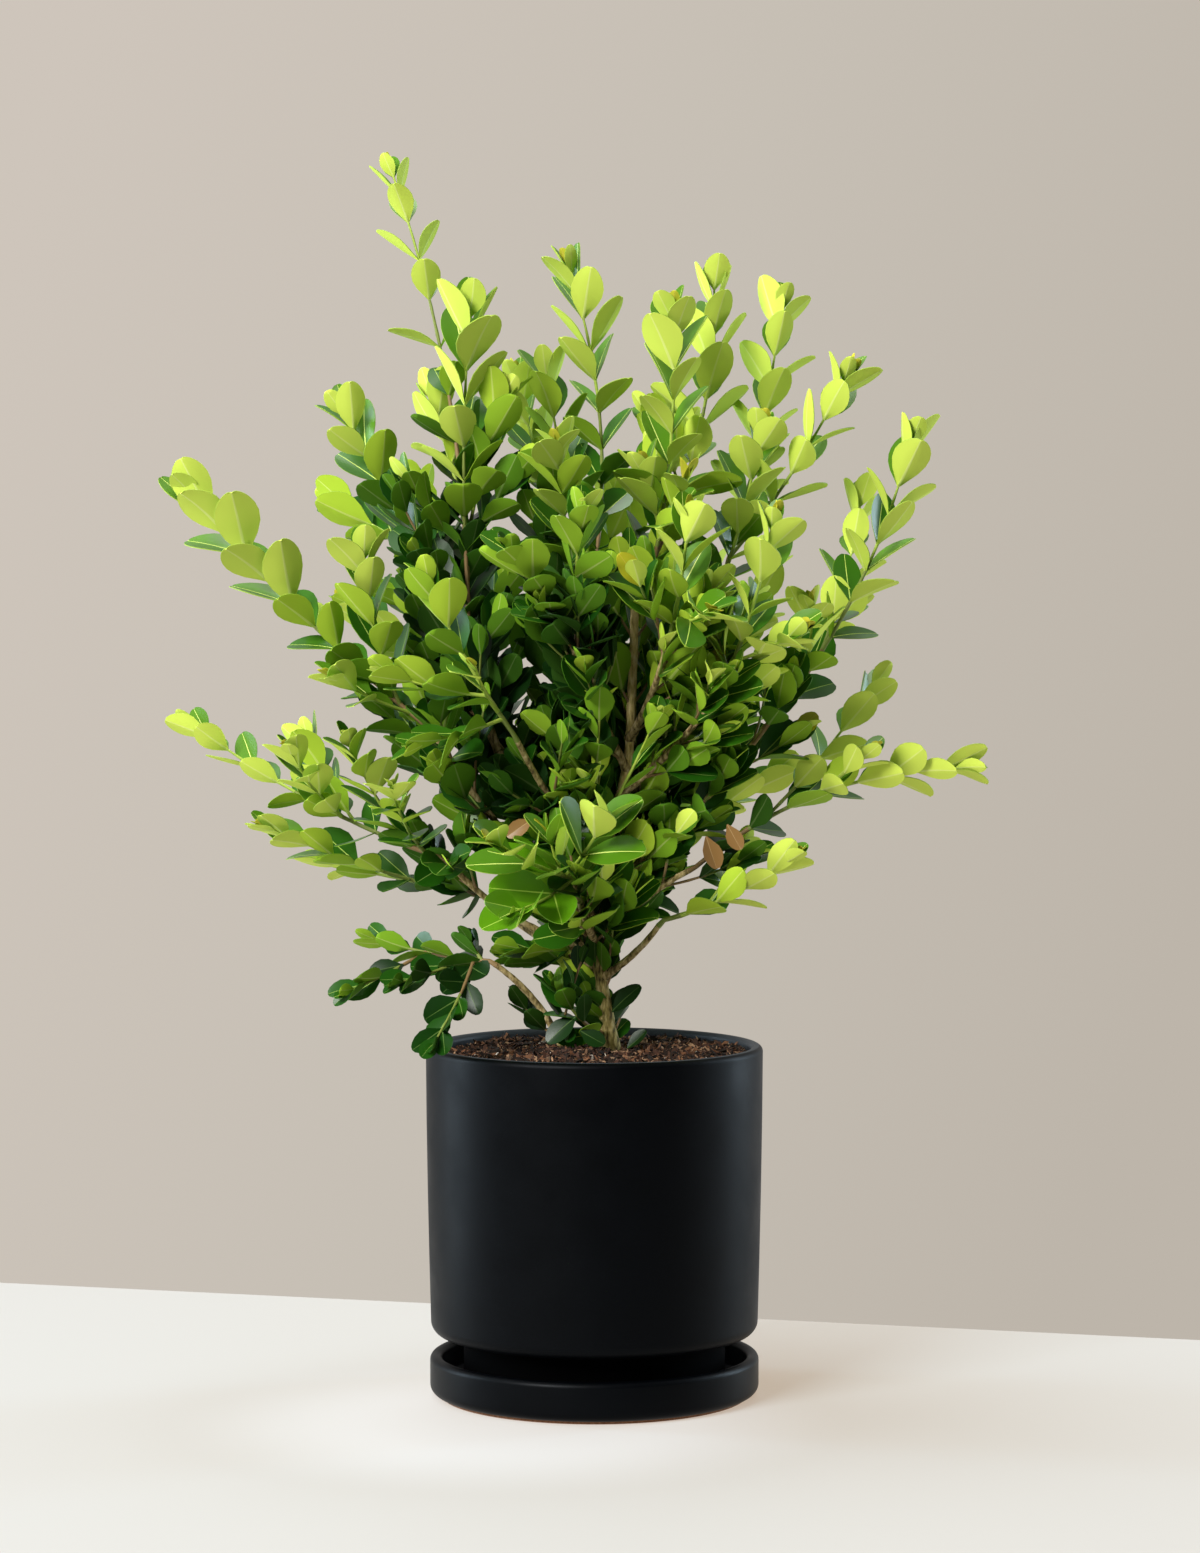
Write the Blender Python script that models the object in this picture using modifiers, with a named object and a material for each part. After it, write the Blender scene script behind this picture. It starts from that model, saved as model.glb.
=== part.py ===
"""A loose, unclipped boxwood shrub in a cylindrical ceramic pot that stands in its saucer.

Metres, +Z up, front towards -Y. The origin is the centre of the saucer's flat underside.

The plant is a skeleton of tapering limbs: one trunk that runs up through the crown, and boughs that
leave it. Each mass of foliage grows from one stem, which starts clear of its bough's tip. The stem and
its leaders run to the tips named in MASSES. From them a seeded rule grows pairs of leaves, each pair
turned a quarter round from the last, and short side shoots. A twig or leaf stays only where it is
nearer to its own leaders than to any other mass's, and clear of every limb, the pot and the soil.
"""

import math
import random

import bmesh
import bpy
from mathutils import Matrix, Vector
from mathutils.kdtree import KDTree

UP = Vector((0, 0, 1))
CLEARANCE = 0.0003  # between neighbours that touch on the real thing

# Pot and saucer
ROUND_STEPS = 36
SAUCER_RADIUS = 0.088
SAUCER_HEIGHT = 0.0225
SAUCER_WALL = 0.0065
SAUCER_FLOOR = 0.006
SAUCER_FILLET = 0.004  # where its floor turns up
SAUCER_EDGE = 0.005  # rounding of its lower edge
SAUCER_BASE_RADIUS = 0.082  # the slim unglazed base that it stands on
SAUCER_BASE_HEIGHT = 0.0015
POT_RADIUS = 0.090
POT_TAPER = 0.0025  # how much narrower the body is at its lower edge
POT_TAPER_HALFWAY = 0.35  # share of the taper that is reached halfway down
POT_TOP = 0.188
POT_BOTTOM = 0.0335
POT_WALL = 0.0065
POT_CORNER = 0.007
POT_FOOT_RADIUS = 0.070
SOIL_TOP = 0.1825
SOIL_MOUND = 0.0012
SOIL_LEVEL_TO = 0.034  # radii at which its top starts to fall, and to dip to the wall
SOIL_DIPS_FROM = 0.075

GROUND = SOIL_TOP + SOIL_MOUND + CLEARANCE
MERGE = 0.00001  # points this near are one, in a turned shape
WELD = 0.000001  # and in a tube's caps
LEVEL_FOOT = 0.0015  # a limb that stands on the soil starts straight up, so its cut is level

# Trunk and boughs
# The trunk's bends from just over the soil to the cut tip
TRUNK_BENDS = (
    (0.0083, 0.008, GROUND + LEVEL_FOOT),
    (0.0060, 0.007, 0.206),
    (0.0022, 0.005, 0.232),
    (0.0010, 0.000, 0.262),
    (0.0080, -0.005, 0.300),
    (0.0175, -0.012, 0.338),
    (0.0200, -0.014, 0.380),
    (0.0215, -0.015, 0.425),
)
TRUNK_RADIUS = 0.0034
TRUNK_TIP_RADIUS = 0.0021
FLARE = 0.0024  # added at the soil
FLARE_HEIGHT = 0.007
LIMB_SIDES = 6
TRUNK_STEPS = 2  # between one bend and the next
LIMB_POINTS = 6
BOUGH_RADIUS = 0.0022
BOUGH_TIP_RADIUS = 0.0015
STEM_POINTS = 6  # along a mass's stem, its other leaders, and side shoots
LEADER_POINTS = 5
SIDE_SHOOT_POINTS = 3

# Boughs: parent, height at which it leaves the parent, tip, bow (how far it bends out and then up)
BOUGHS = {
    "right_foot_bough": ("trunk", 0.223, (0.034, -0.008, 0.252), 0.10),
    "right_low_bough": ("trunk", 0.234, (0.050, -0.003, 0.281), -0.16),
    "right_bough": ("trunk", 0.268, (0.090, 0.002, 0.356), 0.08),
    "upper_right_bough": ("trunk", 0.303, (0.060, 0.010, 0.410), 0.10),
    "front_right_bough": ("trunk", 0.322, (0.062, -0.044, 0.372), 0.06),
    "front_upper_bough": ("trunk", 0.352, (0.038, -0.058, 0.402), 0.08),
    "front_centre_bough": ("trunk", 0.336, (-0.012, -0.054, 0.404), 0.08),
    "front_left_bough": ("trunk", 0.284, (-0.040, -0.052, 0.352), 0.08),
    "front_bough": ("trunk", 0.241, (-0.010, -0.050, 0.278), 0.10),
    "mid_bough": ("trunk", 0.290, (-0.012, 0.016, 0.385), 0.06),
    "left_bough": ("trunk", 0.262, (-0.066, -0.012, 0.400), 0.14),
    "left_upper_bough": ("left_bough", 0.345, (-0.082, 0.018, 0.428), 0.08),
    "left_mid_bough": ("trunk", 0.250, (-0.087, -0.020, 0.356), 0.06),
    "left_low_bough": ("trunk", 0.238, (-0.076, -0.004, 0.284), 0.16),
    "left_foot_bough": ("trunk", 0.228, (-0.056, 0.032, 0.262), 0.08),
    "back_bough": ("trunk", 0.312, (0.006, 0.052, 0.398), 0.12),
    "back_left_bough": ("trunk", 0.278, (-0.046, 0.054, 0.350), 0.08),
    "back_right_bough": ("trunk", 0.284, (0.058, 0.052, 0.350), 0.08),
    "back_far_bough": ("trunk", 0.256, (-0.006, 0.064, 0.312), 0.08),
    "back_low_bough": ("trunk", 0.244, (0.026, 0.054, 0.280), 0.08),
}
# One bough comes out of the soil by itself and droops over the rim.
DROOP_BOUGH = "droop_bough"
DROOP_FOOT = (-0.017, 0.004, GROUND + LEVEL_FOOT)
DROOP_TIP = (-0.052, -0.008, 0.231)
DROOP_BOW = -0.14

# Masses: the limb whose tip the stem meets, leaf size in life, and the leaders, the stem first. A leader is
# its share along the stem where it starts, its tip and its bow.
MASSES = {
    "tall_left": ("left_bough", 0.024, [
        (0, (-0.109, 0.020, 0.656), -0.09),
        (0.12, (-0.065, -0.030, 0.576), 0.04),
        (0.30, (-0.092, 0.030, 0.560), 0.04),
    ]),
    "top_centre": ("mid_bough", 0.024, [
        (0, (-0.013, 0.000, 0.600), -0.16),
        (0.12, (-0.019, -0.070, 0.505), 0.08),
        (0.20, (-0.042, 0.030, 0.545), 0.06),
    ]),
    "top_right_inner": ("trunk", 0.025, [
        (0, (0.064, 0.020, 0.598), 0.15),
        (0.15, (0.041, -0.030, 0.576), 0.08),
        (0.20, (0.016, -0.044, 0.530), 0.04),
    ]),
    "top_right": ("upper_right_bough", 0.024, [
        (0, (0.101, 0.036, 0.586), 0.06),
        (0.22, (0.134, -0.010, 0.545), 0.06),
    ]),
    "right_upper": ("right_bough", 0.023, [
        (0, (0.167, -0.020, 0.511), 0.12),
        (0.20, (0.113, -0.044, 0.428), 0.08),
        (0.30, (0.144, 0.034, 0.481), 0.06),
    ]),
    "right_lower": ("right_low_bough", 0.021, [
        (0, (0.198, 0.000, 0.336), -0.18),
        (0.30, (0.159, 0.034, 0.392), 0.06),
        (0.45, (0.160, -0.032, 0.362), 0.08),
    ]),
    "right_low": ("right_foot_bough", 0.021, [
        (0, (0.104, -0.030, 0.290), 0.10),
        (0.35, (0.080, 0.020, 0.296), 0.08),
    ]),
    "front_right": ("front_right_bough", 0.023, [
        (0, (0.092, -0.080, 0.466), 0.08),
        (0.25, (0.104, -0.086, 0.410), 0.08),
    ]),
    "front_upper": ("front_upper_bough", 0.026, [
        (0, (0.048, -0.098, 0.468), 0.08),
        (0.20, (0.058, -0.118, 0.420), 0.08),
    ]),
    "front_centre": ("front_centre_bough", 0.024, [
        (0, (-0.006, -0.098, 0.470), 0.08),
        (0.20, (-0.044, -0.104, 0.452), 0.06),
    ]),
    "front_left": ("front_left_bough", 0.023, [
        (0, (-0.086, -0.084, 0.436), 0.06),
        (0.20, (-0.060, -0.112, 0.392), 0.08),
        (0.30, (-0.106, -0.074, 0.388), 0.08),
    ]),
    "front_low": ("front_bough", 0.027, [
        (0, (-0.050, -0.122, 0.304), 0.06),
        (0.15, (0.008, -0.104, 0.318), 0.08),
        (0.20, (-0.030, -0.096, 0.330), 0.04),
    ]),
    "left_high": ("left_upper_bough", 0.024, [
        (0, (-0.134, 0.004, 0.527), 0.02),
        (0.25, (-0.146, 0.046, 0.484), 0.06),
    ]),
    "left_far": ("left_mid_bough", 0.025, [
        (0, (-0.213, -0.022, 0.483), 0.12),
        (0.12, (-0.120, -0.050, 0.452), 0.10),
        (0.35, (-0.148, 0.024, 0.430), 0.06),
    ]),
    "left_mid": ("left_low_bough", 0.021, [
        (0, (-0.218, 0.020, 0.360), 0.08),
        (0.10, (-0.104, -0.086, 0.330), 0.06),
        (0.35, (-0.164, 0.034, 0.376), 0.08),
        (0.40, (-0.160, -0.034, 0.346), 0.06),
    ]),
    "left_low": ("left_foot_bough", 0.021, [
        (0, (-0.174, 0.000, 0.304), 0.06),
        (0.35, (-0.150, 0.048, 0.283), 0.02),
    ]),
    "droop": (DROOP_BOUGH, 0.014, [
        (0, (-0.121, 0.018, 0.244), 0.06),
        (0.12, (-0.072, 0.004, 0.254), 0.04),
        (0.18, (-0.083, -0.066, 0.196), -0.10),
        (0.55, (-0.130, -0.030, 0.219), 0.04),
    ]),
    "back_centre": ("back_bough", 0.023, [
        (0, (0.012, 0.086, 0.580), 0.04),
        (0.15, (-0.046, 0.082, 0.542), 0.06),
        (0.20, (0.056, 0.086, 0.540), 0.06),
    ]),
    "back_left": ("back_left_bough", 0.023, [
        (0, (-0.100, 0.108, 0.492), 0.06),
        (0.20, (-0.136, 0.086, 0.424), 0.08),
        (0.20, (-0.056, 0.140, 0.446), 0.08),
    ]),
    "back_right": ("back_right_bough", 0.023, [
        (0, (0.108, 0.104, 0.484), 0.06),
        (0.20, (0.146, 0.080, 0.424), 0.08),
        (0.20, (0.060, 0.140, 0.446), 0.08),
    ]),
    "back_far": ("back_far_bough", 0.022, [
        (0, (-0.014, 0.178, 0.412), 0.08),
        (0.20, (-0.076, 0.150, 0.366), 0.06),
    ]),
    "back_low": ("back_low_bough", 0.021, [
        (0, (0.060, 0.164, 0.352), 0.06),
        (0.25, (0.104, 0.100, 0.330), 0.06),
        (0.30, (0.016, 0.152, 0.322), 0.06),
    ]),
}
# Small masses that fill the crown's middle grow straight off the trunk: height there, leaf size, leaders.
TRUNK_MASSES = {
    "foot_sprout": (0.194, 0.017, [(0, (-0.021, -0.016, 0.222), 0.10)]),
    "inner_right_low": (0.256, 0.018, [(0, (0.046, 0.016, 0.300), 0.06)]),
    "inner_right": (0.344, 0.019, [(0, (0.058, 0.006, 0.368), 0.06)]),
    "inner_front": (0.298, 0.019, [(0, (-0.014, -0.050, 0.332), 0.06)]),
    "inner_left": (0.316, 0.019, [(0, (-0.026, -0.020, 0.362), 0.06)]),
    "inner_back": (0.330, 0.019, [(0, (0.030, 0.034, 0.380), 0.06)]),
}

# Growth
LEAF_SIZES = (0.85, 1.12)  # least and most, of the mass's leaf size
LEAF_GROWTH = 1.5  # each leaf stands for more than one, so it is larger than life
TIP_LEAF = 0.6  # the last pair's share of the full leaf size
LEAF_WIDTH = 0.56  # of its length
LEAF_THICKNESS = 0.032  # of its length, at the keel
WIDEST_AT = 0.60  # share of the length from the root
THICKEST_AT = 0.22
ROOT_SINK = 0.0001  # past the twig's centre line
INTERNODE = 1.75  # leaf lengths in life between one pair and the next
INTERNODE_AT_TIP = 0.6  # of INTERNODE
SPACING_VARIES = (0.9, 1.1)
BARE_FOOT = 0.10  # share of a leader with no leaves
FIRST_PAIR = 0.006  # from a shoot's foot, at least
LAST_PAIR = 0.001  # from its tip
YOUNG_LENGTH = 0.12  # behind the tip, over which leaves grow from young to old
YOUNG_SPREAD = math.radians(38)  # a leaf's angle from its twig at the tip, and lower down
OLD_SPREAD = math.radians(56)
ANGLE_VARIES = (0.8, 1.2)
LEAF_ROLL = math.radians(14)
LEVEL_FROM = 0.55  # a shoot nearer to level than this turns its pairs towards the level
LEVEL_PULL = 1.2
SIDE_SHOOT_EVERY = 2  # pairs of leaves
SIDE_SHOOT_ANGLE = math.radians(48)
SIDE_SHOOT_SHARE = 0.36  # of what is left of its leader
SIDE_SHOOT_LEAF = 0.9  # of its leader's leaf size
SIDE_SHOOT_BOW = 0.08
SIDE_SHOOT_RISE = 0.25  # how much it turns up, against its own direction of 1
SIDE_SHOOT_FOOT = 0.008  # this much of it may be near its leader's limb
LONGEST_SIDE_SHOOT = 0.060
SHORTEST_SIDE_SHOOT = 0.022
STEM_RADIUS = 0.00135
STEM_LEAD = 0.004  # a stem runs straight out of its limb for this far
TWIG_RADIUS = 0.0010
TIP_RADIUS = 0.0006
CELL_MARGIN = 0.0016  # from the border with a neighbouring mass
LIMB_MARGIN = 0.0012
PATH_STEP = 0.004  # between the points that distances are measured to
SEED = 11

COLOURS = {
    "glaze": ((0.012, 0.014, 0.017), 0.5),
    "soil": ((0.060, 0.034, 0.020), 0.95),
    "bark": ((0.300, 0.200, 0.095), 0.85),
    "leaf": ((0.100, 0.260, 0.030), 0.45),
}


# ---- paths ----


def bowed_path(start, tip, bow, count):
    """Points on an arc from start to tip. A positive bow sets out sideways and then turns up."""
    start = Vector(start)
    tip = Vector(tip)
    chord = tip - start
    outward = Vector((tip.x, tip.y, 0)).normalized()
    bend = outward - UP
    bend -= bend.project(chord)
    control = (start + tip) / 2 + bend.normalized() * bow * chord.length
    shares = [i / (count - 1) for i in range(count)]
    return [start * (1 - s) ** 2 + control * 2 * s * (1 - s) + tip * s * s for s in shares]


def smooth_path(bends, steps):
    """A Catmull-Rom curve through the bends."""
    bends = [Vector(bend) for bend in bends]
    padded = [2 * bends[0] - bends[1], *bends, 2 * bends[-1] - bends[-2]]
    path = []
    for before, start, end, after in zip(padded, padded[1:], padded[2:], padded[3:]):
        for i in range(steps):
            s = i / steps
            pull = 3 * (start - end) + after - before
            lean = 2 * before - 5 * start + 4 * end - after
            path.append(start + 0.5 * (s * (end - before) + s * s * lean + s ** 3 * pull))
    return [*path, bends[-1]]


def lengths_along(path):
    total = [0.0]
    for a, b in zip(path, path[1:]):
        total.append(total[-1] + (b - a).length)
    return total


def place_on(path, distance):
    """The point and direction at a distance along the path."""
    total = lengths_along(path)
    for i in range(1, len(path)):
        if distance <= total[i] or i == len(path) - 1:
            share = (distance - total[i - 1]) / (total[i] - total[i - 1])
            return path[i - 1].lerp(path[i], share), (path[i] - path[i - 1]).normalized()


def place_at_height(path, radii, height):
    """The point of a rising limb's centre line at a height, and the limb's radius there."""
    for a, b, start, end in zip(path, path[1:], radii, radii[1:]):
        if b.z >= height:
            share = (height - a.z) / (b.z - a.z)
            return a.lerp(b, share), start + (end - start) * share


def spaced(path, step):
    """Points every step along the path, for measuring distances to it."""
    length = lengths_along(path)[-1]
    count = max(2, math.ceil(length / step) + 1)
    return [place_on(path, length * i / (count - 1))[0] for i in range(count)]


# ---- limbs ----


def trunk_radii(path):
    height = path[-1].z - path[0].z
    radii = []
    for point in path:
        rise = point.z - path[0].z
        flare = FLARE * math.exp(-rise / FLARE_HEIGHT)
        radii.append(TRUNK_RADIUS + (TRUNK_TIP_RADIUS - TRUNK_RADIUS) * rise / height + flare)
    return radii


def on_the_soil(path):
    return [path[0] - UP * LEVEL_FOOT, *path]


def tapering(count, start, end):
    return [start + (end - start) * i / (count - 1) for i in range(count)]


def limbs():
    """Each limb's path and radii, by name, parents first."""
    path = on_the_soil(smooth_path(TRUNK_BENDS, TRUNK_STEPS))
    made = {"trunk": (path, trunk_radii(path))}
    for name, (parent, height, tip, bow) in BOUGHS.items():
        start, _ = place_at_height(*made[parent], height)
        path = bowed_path(start, tip, bow, LIMB_POINTS)
        made[name] = (path, tapering(len(path), BOUGH_RADIUS, BOUGH_TIP_RADIUS))
    droop = on_the_soil(bowed_path(DROOP_FOOT, DROOP_TIP, DROOP_BOW, LIMB_POINTS))
    made[DROOP_BOUGH] = (droop, tapering(len(droop), BOUGH_RADIUS, BOUGH_TIP_RADIUS))
    return made


# ---- masses ----


def leaders_of(start, lead, shoots):
    """The leaders' paths, the stem first. The stem sets out from the start along the vector lead."""
    _, stem_tip, stem_bow = shoots[0]
    stem = [start, *bowed_path(start + lead, stem_tip, stem_bow, STEM_POINTS)]
    leaders = [stem]
    for share, tip, bow in shoots[1:]:
        foot, _ = place_on(stem, share * lengths_along(stem)[-1])
        leaders.append(bowed_path(foot, tip, bow, LEADER_POINTS))
    return leaders


def all_leaders(made):
    """Every mass's leaders. A stem starts clear of its bough's tip, or inside the trunk, to be cut clear."""
    found = {}
    for name, (limb, _, shoots) in MASSES.items():
        path = made[limb][0]
        away = (path[-1] - path[-2]).normalized()
        found[name] = leaders_of(path[-1] + away * CLEARANCE, away * STEM_LEAD, shoots)
    for name, (height, _, shoots) in TRUNK_MASSES.items():
        foot, radius = place_at_height(*made["trunk"], height)
        away = Vector(shoots[0][1]) - foot
        away = Vector((away.x, away.y, 0)).normalized()
        found[name] = leaders_of(foot, away * (radius + STEM_LEAD), shoots)
    return found


class Space:
    """Tells whether a point may belong to a mass."""

    def __init__(self, made, leaders):
        self.limb_points = []
        for path, radii in made.values():
            length = lengths_along(path)[-1]
            for point in spaced(path, PATH_STEP / 2):
                share = min(1.0, (point - path[0]).length / length)
                self.limb_points.append((point, radii[round(share * (len(radii) - 1))]))
        self.limb_tree = self.tree([point for point, _ in self.limb_points])
        self.own = {}
        self.others = {}
        samples = {
            name: [point for path in paths for point in spaced(path, PATH_STEP)]
            for name, paths in leaders.items()
        }
        for name in leaders:
            self.own[name] = self.tree(samples[name])
            self.others[name] = self.tree([p for other in samples if other != name for p in samples[other]])

    @staticmethod
    def tree(points):
        made = KDTree(len(points))
        for i, point in enumerate(points):
            made.insert(point, i)
        made.balance()
        return made

    def free(self, mass, point, margin):
        """Whether the point is in this mass's cell and at least the margin from limbs, pot and soil."""
        _, _, own = self.own[mass].find(point)
        _, _, other = self.others[mass].find(point)
        if other < own + CELL_MARGIN + margin:
            return False
        _, index, distance = self.limb_tree.find(point)
        if distance < self.limb_points[index][1] + LIMB_MARGIN + margin:
            return False
        radius = math.hypot(point.x, point.y)
        in_wall = radius > POT_RADIUS - POT_WALL - LIMB_MARGIN
        ground = POT_TOP if in_wall else SOIL_TOP + SOIL_MOUND
        return radius > POT_RADIUS + LIMB_MARGIN or point.z > ground + LIMB_MARGIN + margin


def leaf_frame(root, along, side, spread, length, rng):
    """A leaf's matrix: its length is +Z, its width X, and its upper face looks to +Y."""
    axis = (along * math.cos(spread) + side * math.sin(spread)).normalized()
    face = (along * math.sin(spread) - side * math.cos(spread)).normalized()
    turned = Matrix((face.cross(axis), face, axis)).transposed()
    roll = Matrix.Rotation(rng.gauss(0, LEAF_ROLL), 3, "Z")
    return Matrix.Translation(root) @ (turned @ roll).to_4x4() @ Matrix.Diagonal((*[length] * 3, 1))


def leaf_samples():
    """Points over a leaf of unit length, dense enough that nothing slips between them."""
    points = []
    for i in range(1, 8):
        z = i / 7
        near = z / WIDEST_AT if z < WIDEST_AT else (1 - z) / (1 - WIDEST_AT)
        points += [Vector((LEAF_WIDTH / 2 * near * across, 0, z)) for across in (-1, -0.5, 0, 0.5, 1)]
    return points


LEAF_SAMPLES = leaf_samples()


def pair_side(along, turn):
    """The direction in which a pair's first leaf stands off. On a nearly level shoot it is nearly level."""
    side = Matrix.Rotation(turn, 3, along) @ along.orthogonal().normalized()
    level = along.cross(UP)
    if level.length > LEVEL_FROM:
        side += LEVEL_PULL * level.normalized() * math.copysign(1, side.dot(level))
        side -= side.project(along)
    return side.normalized()


def grow_pair(mass, root, along, side, age, leaf_length, space, rng):
    """The leaves of one pair that fit. Age runs from 0 at the tip to 1."""
    spread = YOUNG_SPREAD + (OLD_SPREAD - YOUNG_SPREAD) * age
    grown = []
    for away in (side, -side):
        size = leaf_length * LEAF_GROWTH * rng.uniform(*LEAF_SIZES)
        angle = spread * rng.uniform(*ANGLE_VARIES)
        matrix = leaf_frame(root - away * ROOT_SINK, along, away, angle, size, rng)
        if all(space.free(mass, matrix @ point, 0) for point in LEAF_SAMPLES):
            grown.append(matrix)
    return grown


def side_route(mass, root, along, side, room, space, rng):
    """The path of a side shoot, or None where it would be too short or leave the mass's space."""
    reach = min(LONGEST_SIDE_SHOOT, SIDE_SHOOT_SHARE * room * rng.uniform(*ANGLE_VARIES))
    bearing = along.cross(side) * rng.choice((1, -1))
    aim = along * math.cos(SIDE_SHOOT_ANGLE) + bearing * math.sin(SIDE_SHOOT_ANGLE) + SIDE_SHOOT_RISE * UP
    route = bowed_path(root, root + aim.normalized() * reach, SIDE_SHOOT_BOW, SIDE_SHOOT_POINTS)
    outer = [point for point in spaced(route, PATH_STEP) if (point - root).length > SIDE_SHOOT_FOOT]
    if reach > SHORTEST_SIDE_SHOOT and all(space.free(mass, point, TWIG_RADIUS) for point in outer):
        return route


def grow_shoot(mass, path, radius, leaf_length, space, rng, side_shoots):
    """Adds leaves along one shoot and, on a leader, side shoots. Returns its twigs and its leaves."""
    twigs = [(path, tapering(len(path), radius, TIP_RADIUS))]
    leaves = []
    length = lengths_along(path)[-1]
    distance = length - LAST_PAIR
    turn = rng.uniform(0, math.pi)
    pair = 0
    while distance > max(FIRST_PAIR, BARE_FOOT * length):
        root, along = place_on(path, distance)
        age = min(1.0, (length - distance) / YOUNG_LENGTH)
        side = pair_side(along, turn)
        size = leaf_length * (TIP_LEAF if pair == 0 else 1)
        leaves += grow_pair(mass, root, along, side, age, size, space, rng)
        if side_shoots and pair > 1 and pair % SIDE_SHOOT_EVERY == 1:
            route = side_route(mass, root, along, side, length - distance, space, rng)
            if route:
                small = leaf_length * SIDE_SHOOT_LEAF
                grown = grow_shoot(mass, route, TWIG_RADIUS, small, space, rng, False)
                twigs += grown[0]
                leaves += grown[1]
        spacing = INTERNODE * leaf_length * (INTERNODE_AT_TIP + (1 - INTERNODE_AT_TIP) * age)
        distance -= spacing * rng.uniform(*SPACING_VARIES)
        turn += math.pi / 2
        pair += 1
    return twigs, leaves


def grow_mass(mass, paths, leaf_length, space, rng):
    twigs = []
    leaves = []
    for i, path in enumerate(paths):
        radius = STEM_RADIUS if i == 0 else TWIG_RADIUS
        grown = grow_shoot(mass, path, radius, leaf_length, space, rng, True)
        twigs += grown[0]
        leaves += grown[1]
    return twigs, leaves


# ---- Blender objects ----


def clear_scene():
    for obj in list(bpy.data.objects):
        bpy.data.objects.remove(obj, do_unlink=True)


def new_collection(name):
    collection = bpy.data.collections.new(name)
    bpy.context.scene.collection.children.link(collection)
    return collection


def make_materials():
    made = {}
    for name, (colour, roughness) in COLOURS.items():
        material = bpy.data.materials.new(name)
        material.use_nodes = True
        shader = material.node_tree.nodes["Principled BSDF"]
        shader.inputs["Base Color"].default_value = (*colour, 1)
        shader.inputs["Roughness"].default_value = roughness
        made[name] = material
    return made


def add_object(name, data, collection, material=None):
    obj = bpy.data.objects.new(name, data)
    collection.objects.link(obj)
    if material:
        data.materials.clear()
        data.materials.append(material)
    return obj


def arc(centre, radius, start, end, steps):
    """Points of an arc in the profile plane, angles in degrees from +X."""
    angles = [math.radians(start + (end - start) * i / steps) for i in range(steps + 1)]
    return [(centre[0] + radius * math.cos(a), centre[1] + radius * math.sin(a)) for a in angles]


def turned(name, profile, collection, material):
    """A solid of revolution from a profile of (radius, height) that starts and ends on the axis."""
    mesh = bpy.data.meshes.new(name)
    points = [(radius, 0, height) for radius, height in profile]
    mesh.from_pydata(points, [(i, i + 1) for i in range(len(points) - 1)], [])
    obj = add_object(name, mesh, collection, material)
    screw = obj.modifiers.new("turned", "SCREW")
    screw.steps = ROUND_STEPS
    screw.render_steps = ROUND_STEPS
    screw.use_merge_vertices = True
    screw.merge_threshold = MERGE
    return obj


def curve_tube(name, path, radii, bevel, collection):
    """A tapering tube with filled caps. The bevel is a number of sides, or a curve that is the section."""
    curve = bpy.data.curves.new(name, "CURVE")
    curve.dimensions = "3D"
    curve.use_fill_caps = True
    if isinstance(bevel, int):
        curve.bevel_depth = 1
        curve.bevel_resolution = (bevel - 4) // 2
    else:
        curve.bevel_mode = "OBJECT"
        curve.bevel_object = bevel
    spline = curve.splines.new("POLY")
    spline.points.add(len(path) - 1)
    for point, place, radius in zip(spline.points, path, radii):
        point.co = (*place, 1)
        point.radius = radius
    return add_object(name, curve, collection)


def triangle_section(collection):
    """The three-sided section that twigs are swept with."""
    curve = bpy.data.curves.new("twig_section", "CURVE")
    spline = curve.splines.new("POLY")
    spline.points.add(2)
    for i, point in enumerate(spline.points):
        angle = math.tau * i / 3
        point.co = (math.cos(angle), math.sin(angle), 0, 1)
    spline.use_cyclic_u = True
    section = add_object("twig_section", curve, collection)
    section.hide_render = True
    section.display_type = "WIRE"
    return section


def as_meshes(curves):
    """Turns curve objects into mesh objects of the same names, their caps welded."""
    bpy.context.view_layer.update()
    graph = bpy.context.evaluated_depsgraph_get()
    meshes = [bpy.data.meshes.new_from_object(curve.evaluated_get(graph)) for curve in curves]
    made = []
    for curve, mesh in zip(curves, meshes):
        body = bmesh.new()
        body.from_mesh(mesh)
        bmesh.ops.remove_doubles(body, verts=body.verts, dist=WELD)
        bmesh.ops.recalc_face_normals(body, faces=body.faces)
        body.to_mesh(mesh)
        body.free()
        name = curve.name
        collection = curve.users_collection[0]
        bpy.data.objects.remove(curve, do_unlink=True)
        made.append(add_object(name, mesh, collection))
    return made


def apply_modifiers(obj):
    bpy.context.view_layer.update()
    graph = bpy.context.evaluated_depsgraph_get()
    mesh = bpy.data.meshes.new_from_object(obj.evaluated_get(graph))
    obj.modifiers.clear()
    obj.data = mesh


def largest_piece(obj):
    """Drops scraps that a Boolean cut loose."""
    body = bmesh.new()
    body.from_mesh(obj.data)
    bmesh.ops.triangulate(body, faces=body.faces)
    pieces = []
    left = set(body.verts)
    while left:
        front = [left.pop()]
        piece = set(front)
        while front:
            vertex = front.pop()
            near = {edge.other_vert(vertex) for edge in vertex.link_edges} & left
            left -= near
            piece |= near
            front += near
        pieces.append(piece)
    pieces.sort(key=len)
    for piece in pieces[:-1]:
        bmesh.ops.delete(body, geom=list(piece), context="VERTS")
    body.to_mesh(obj.data)
    body.free()


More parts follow.
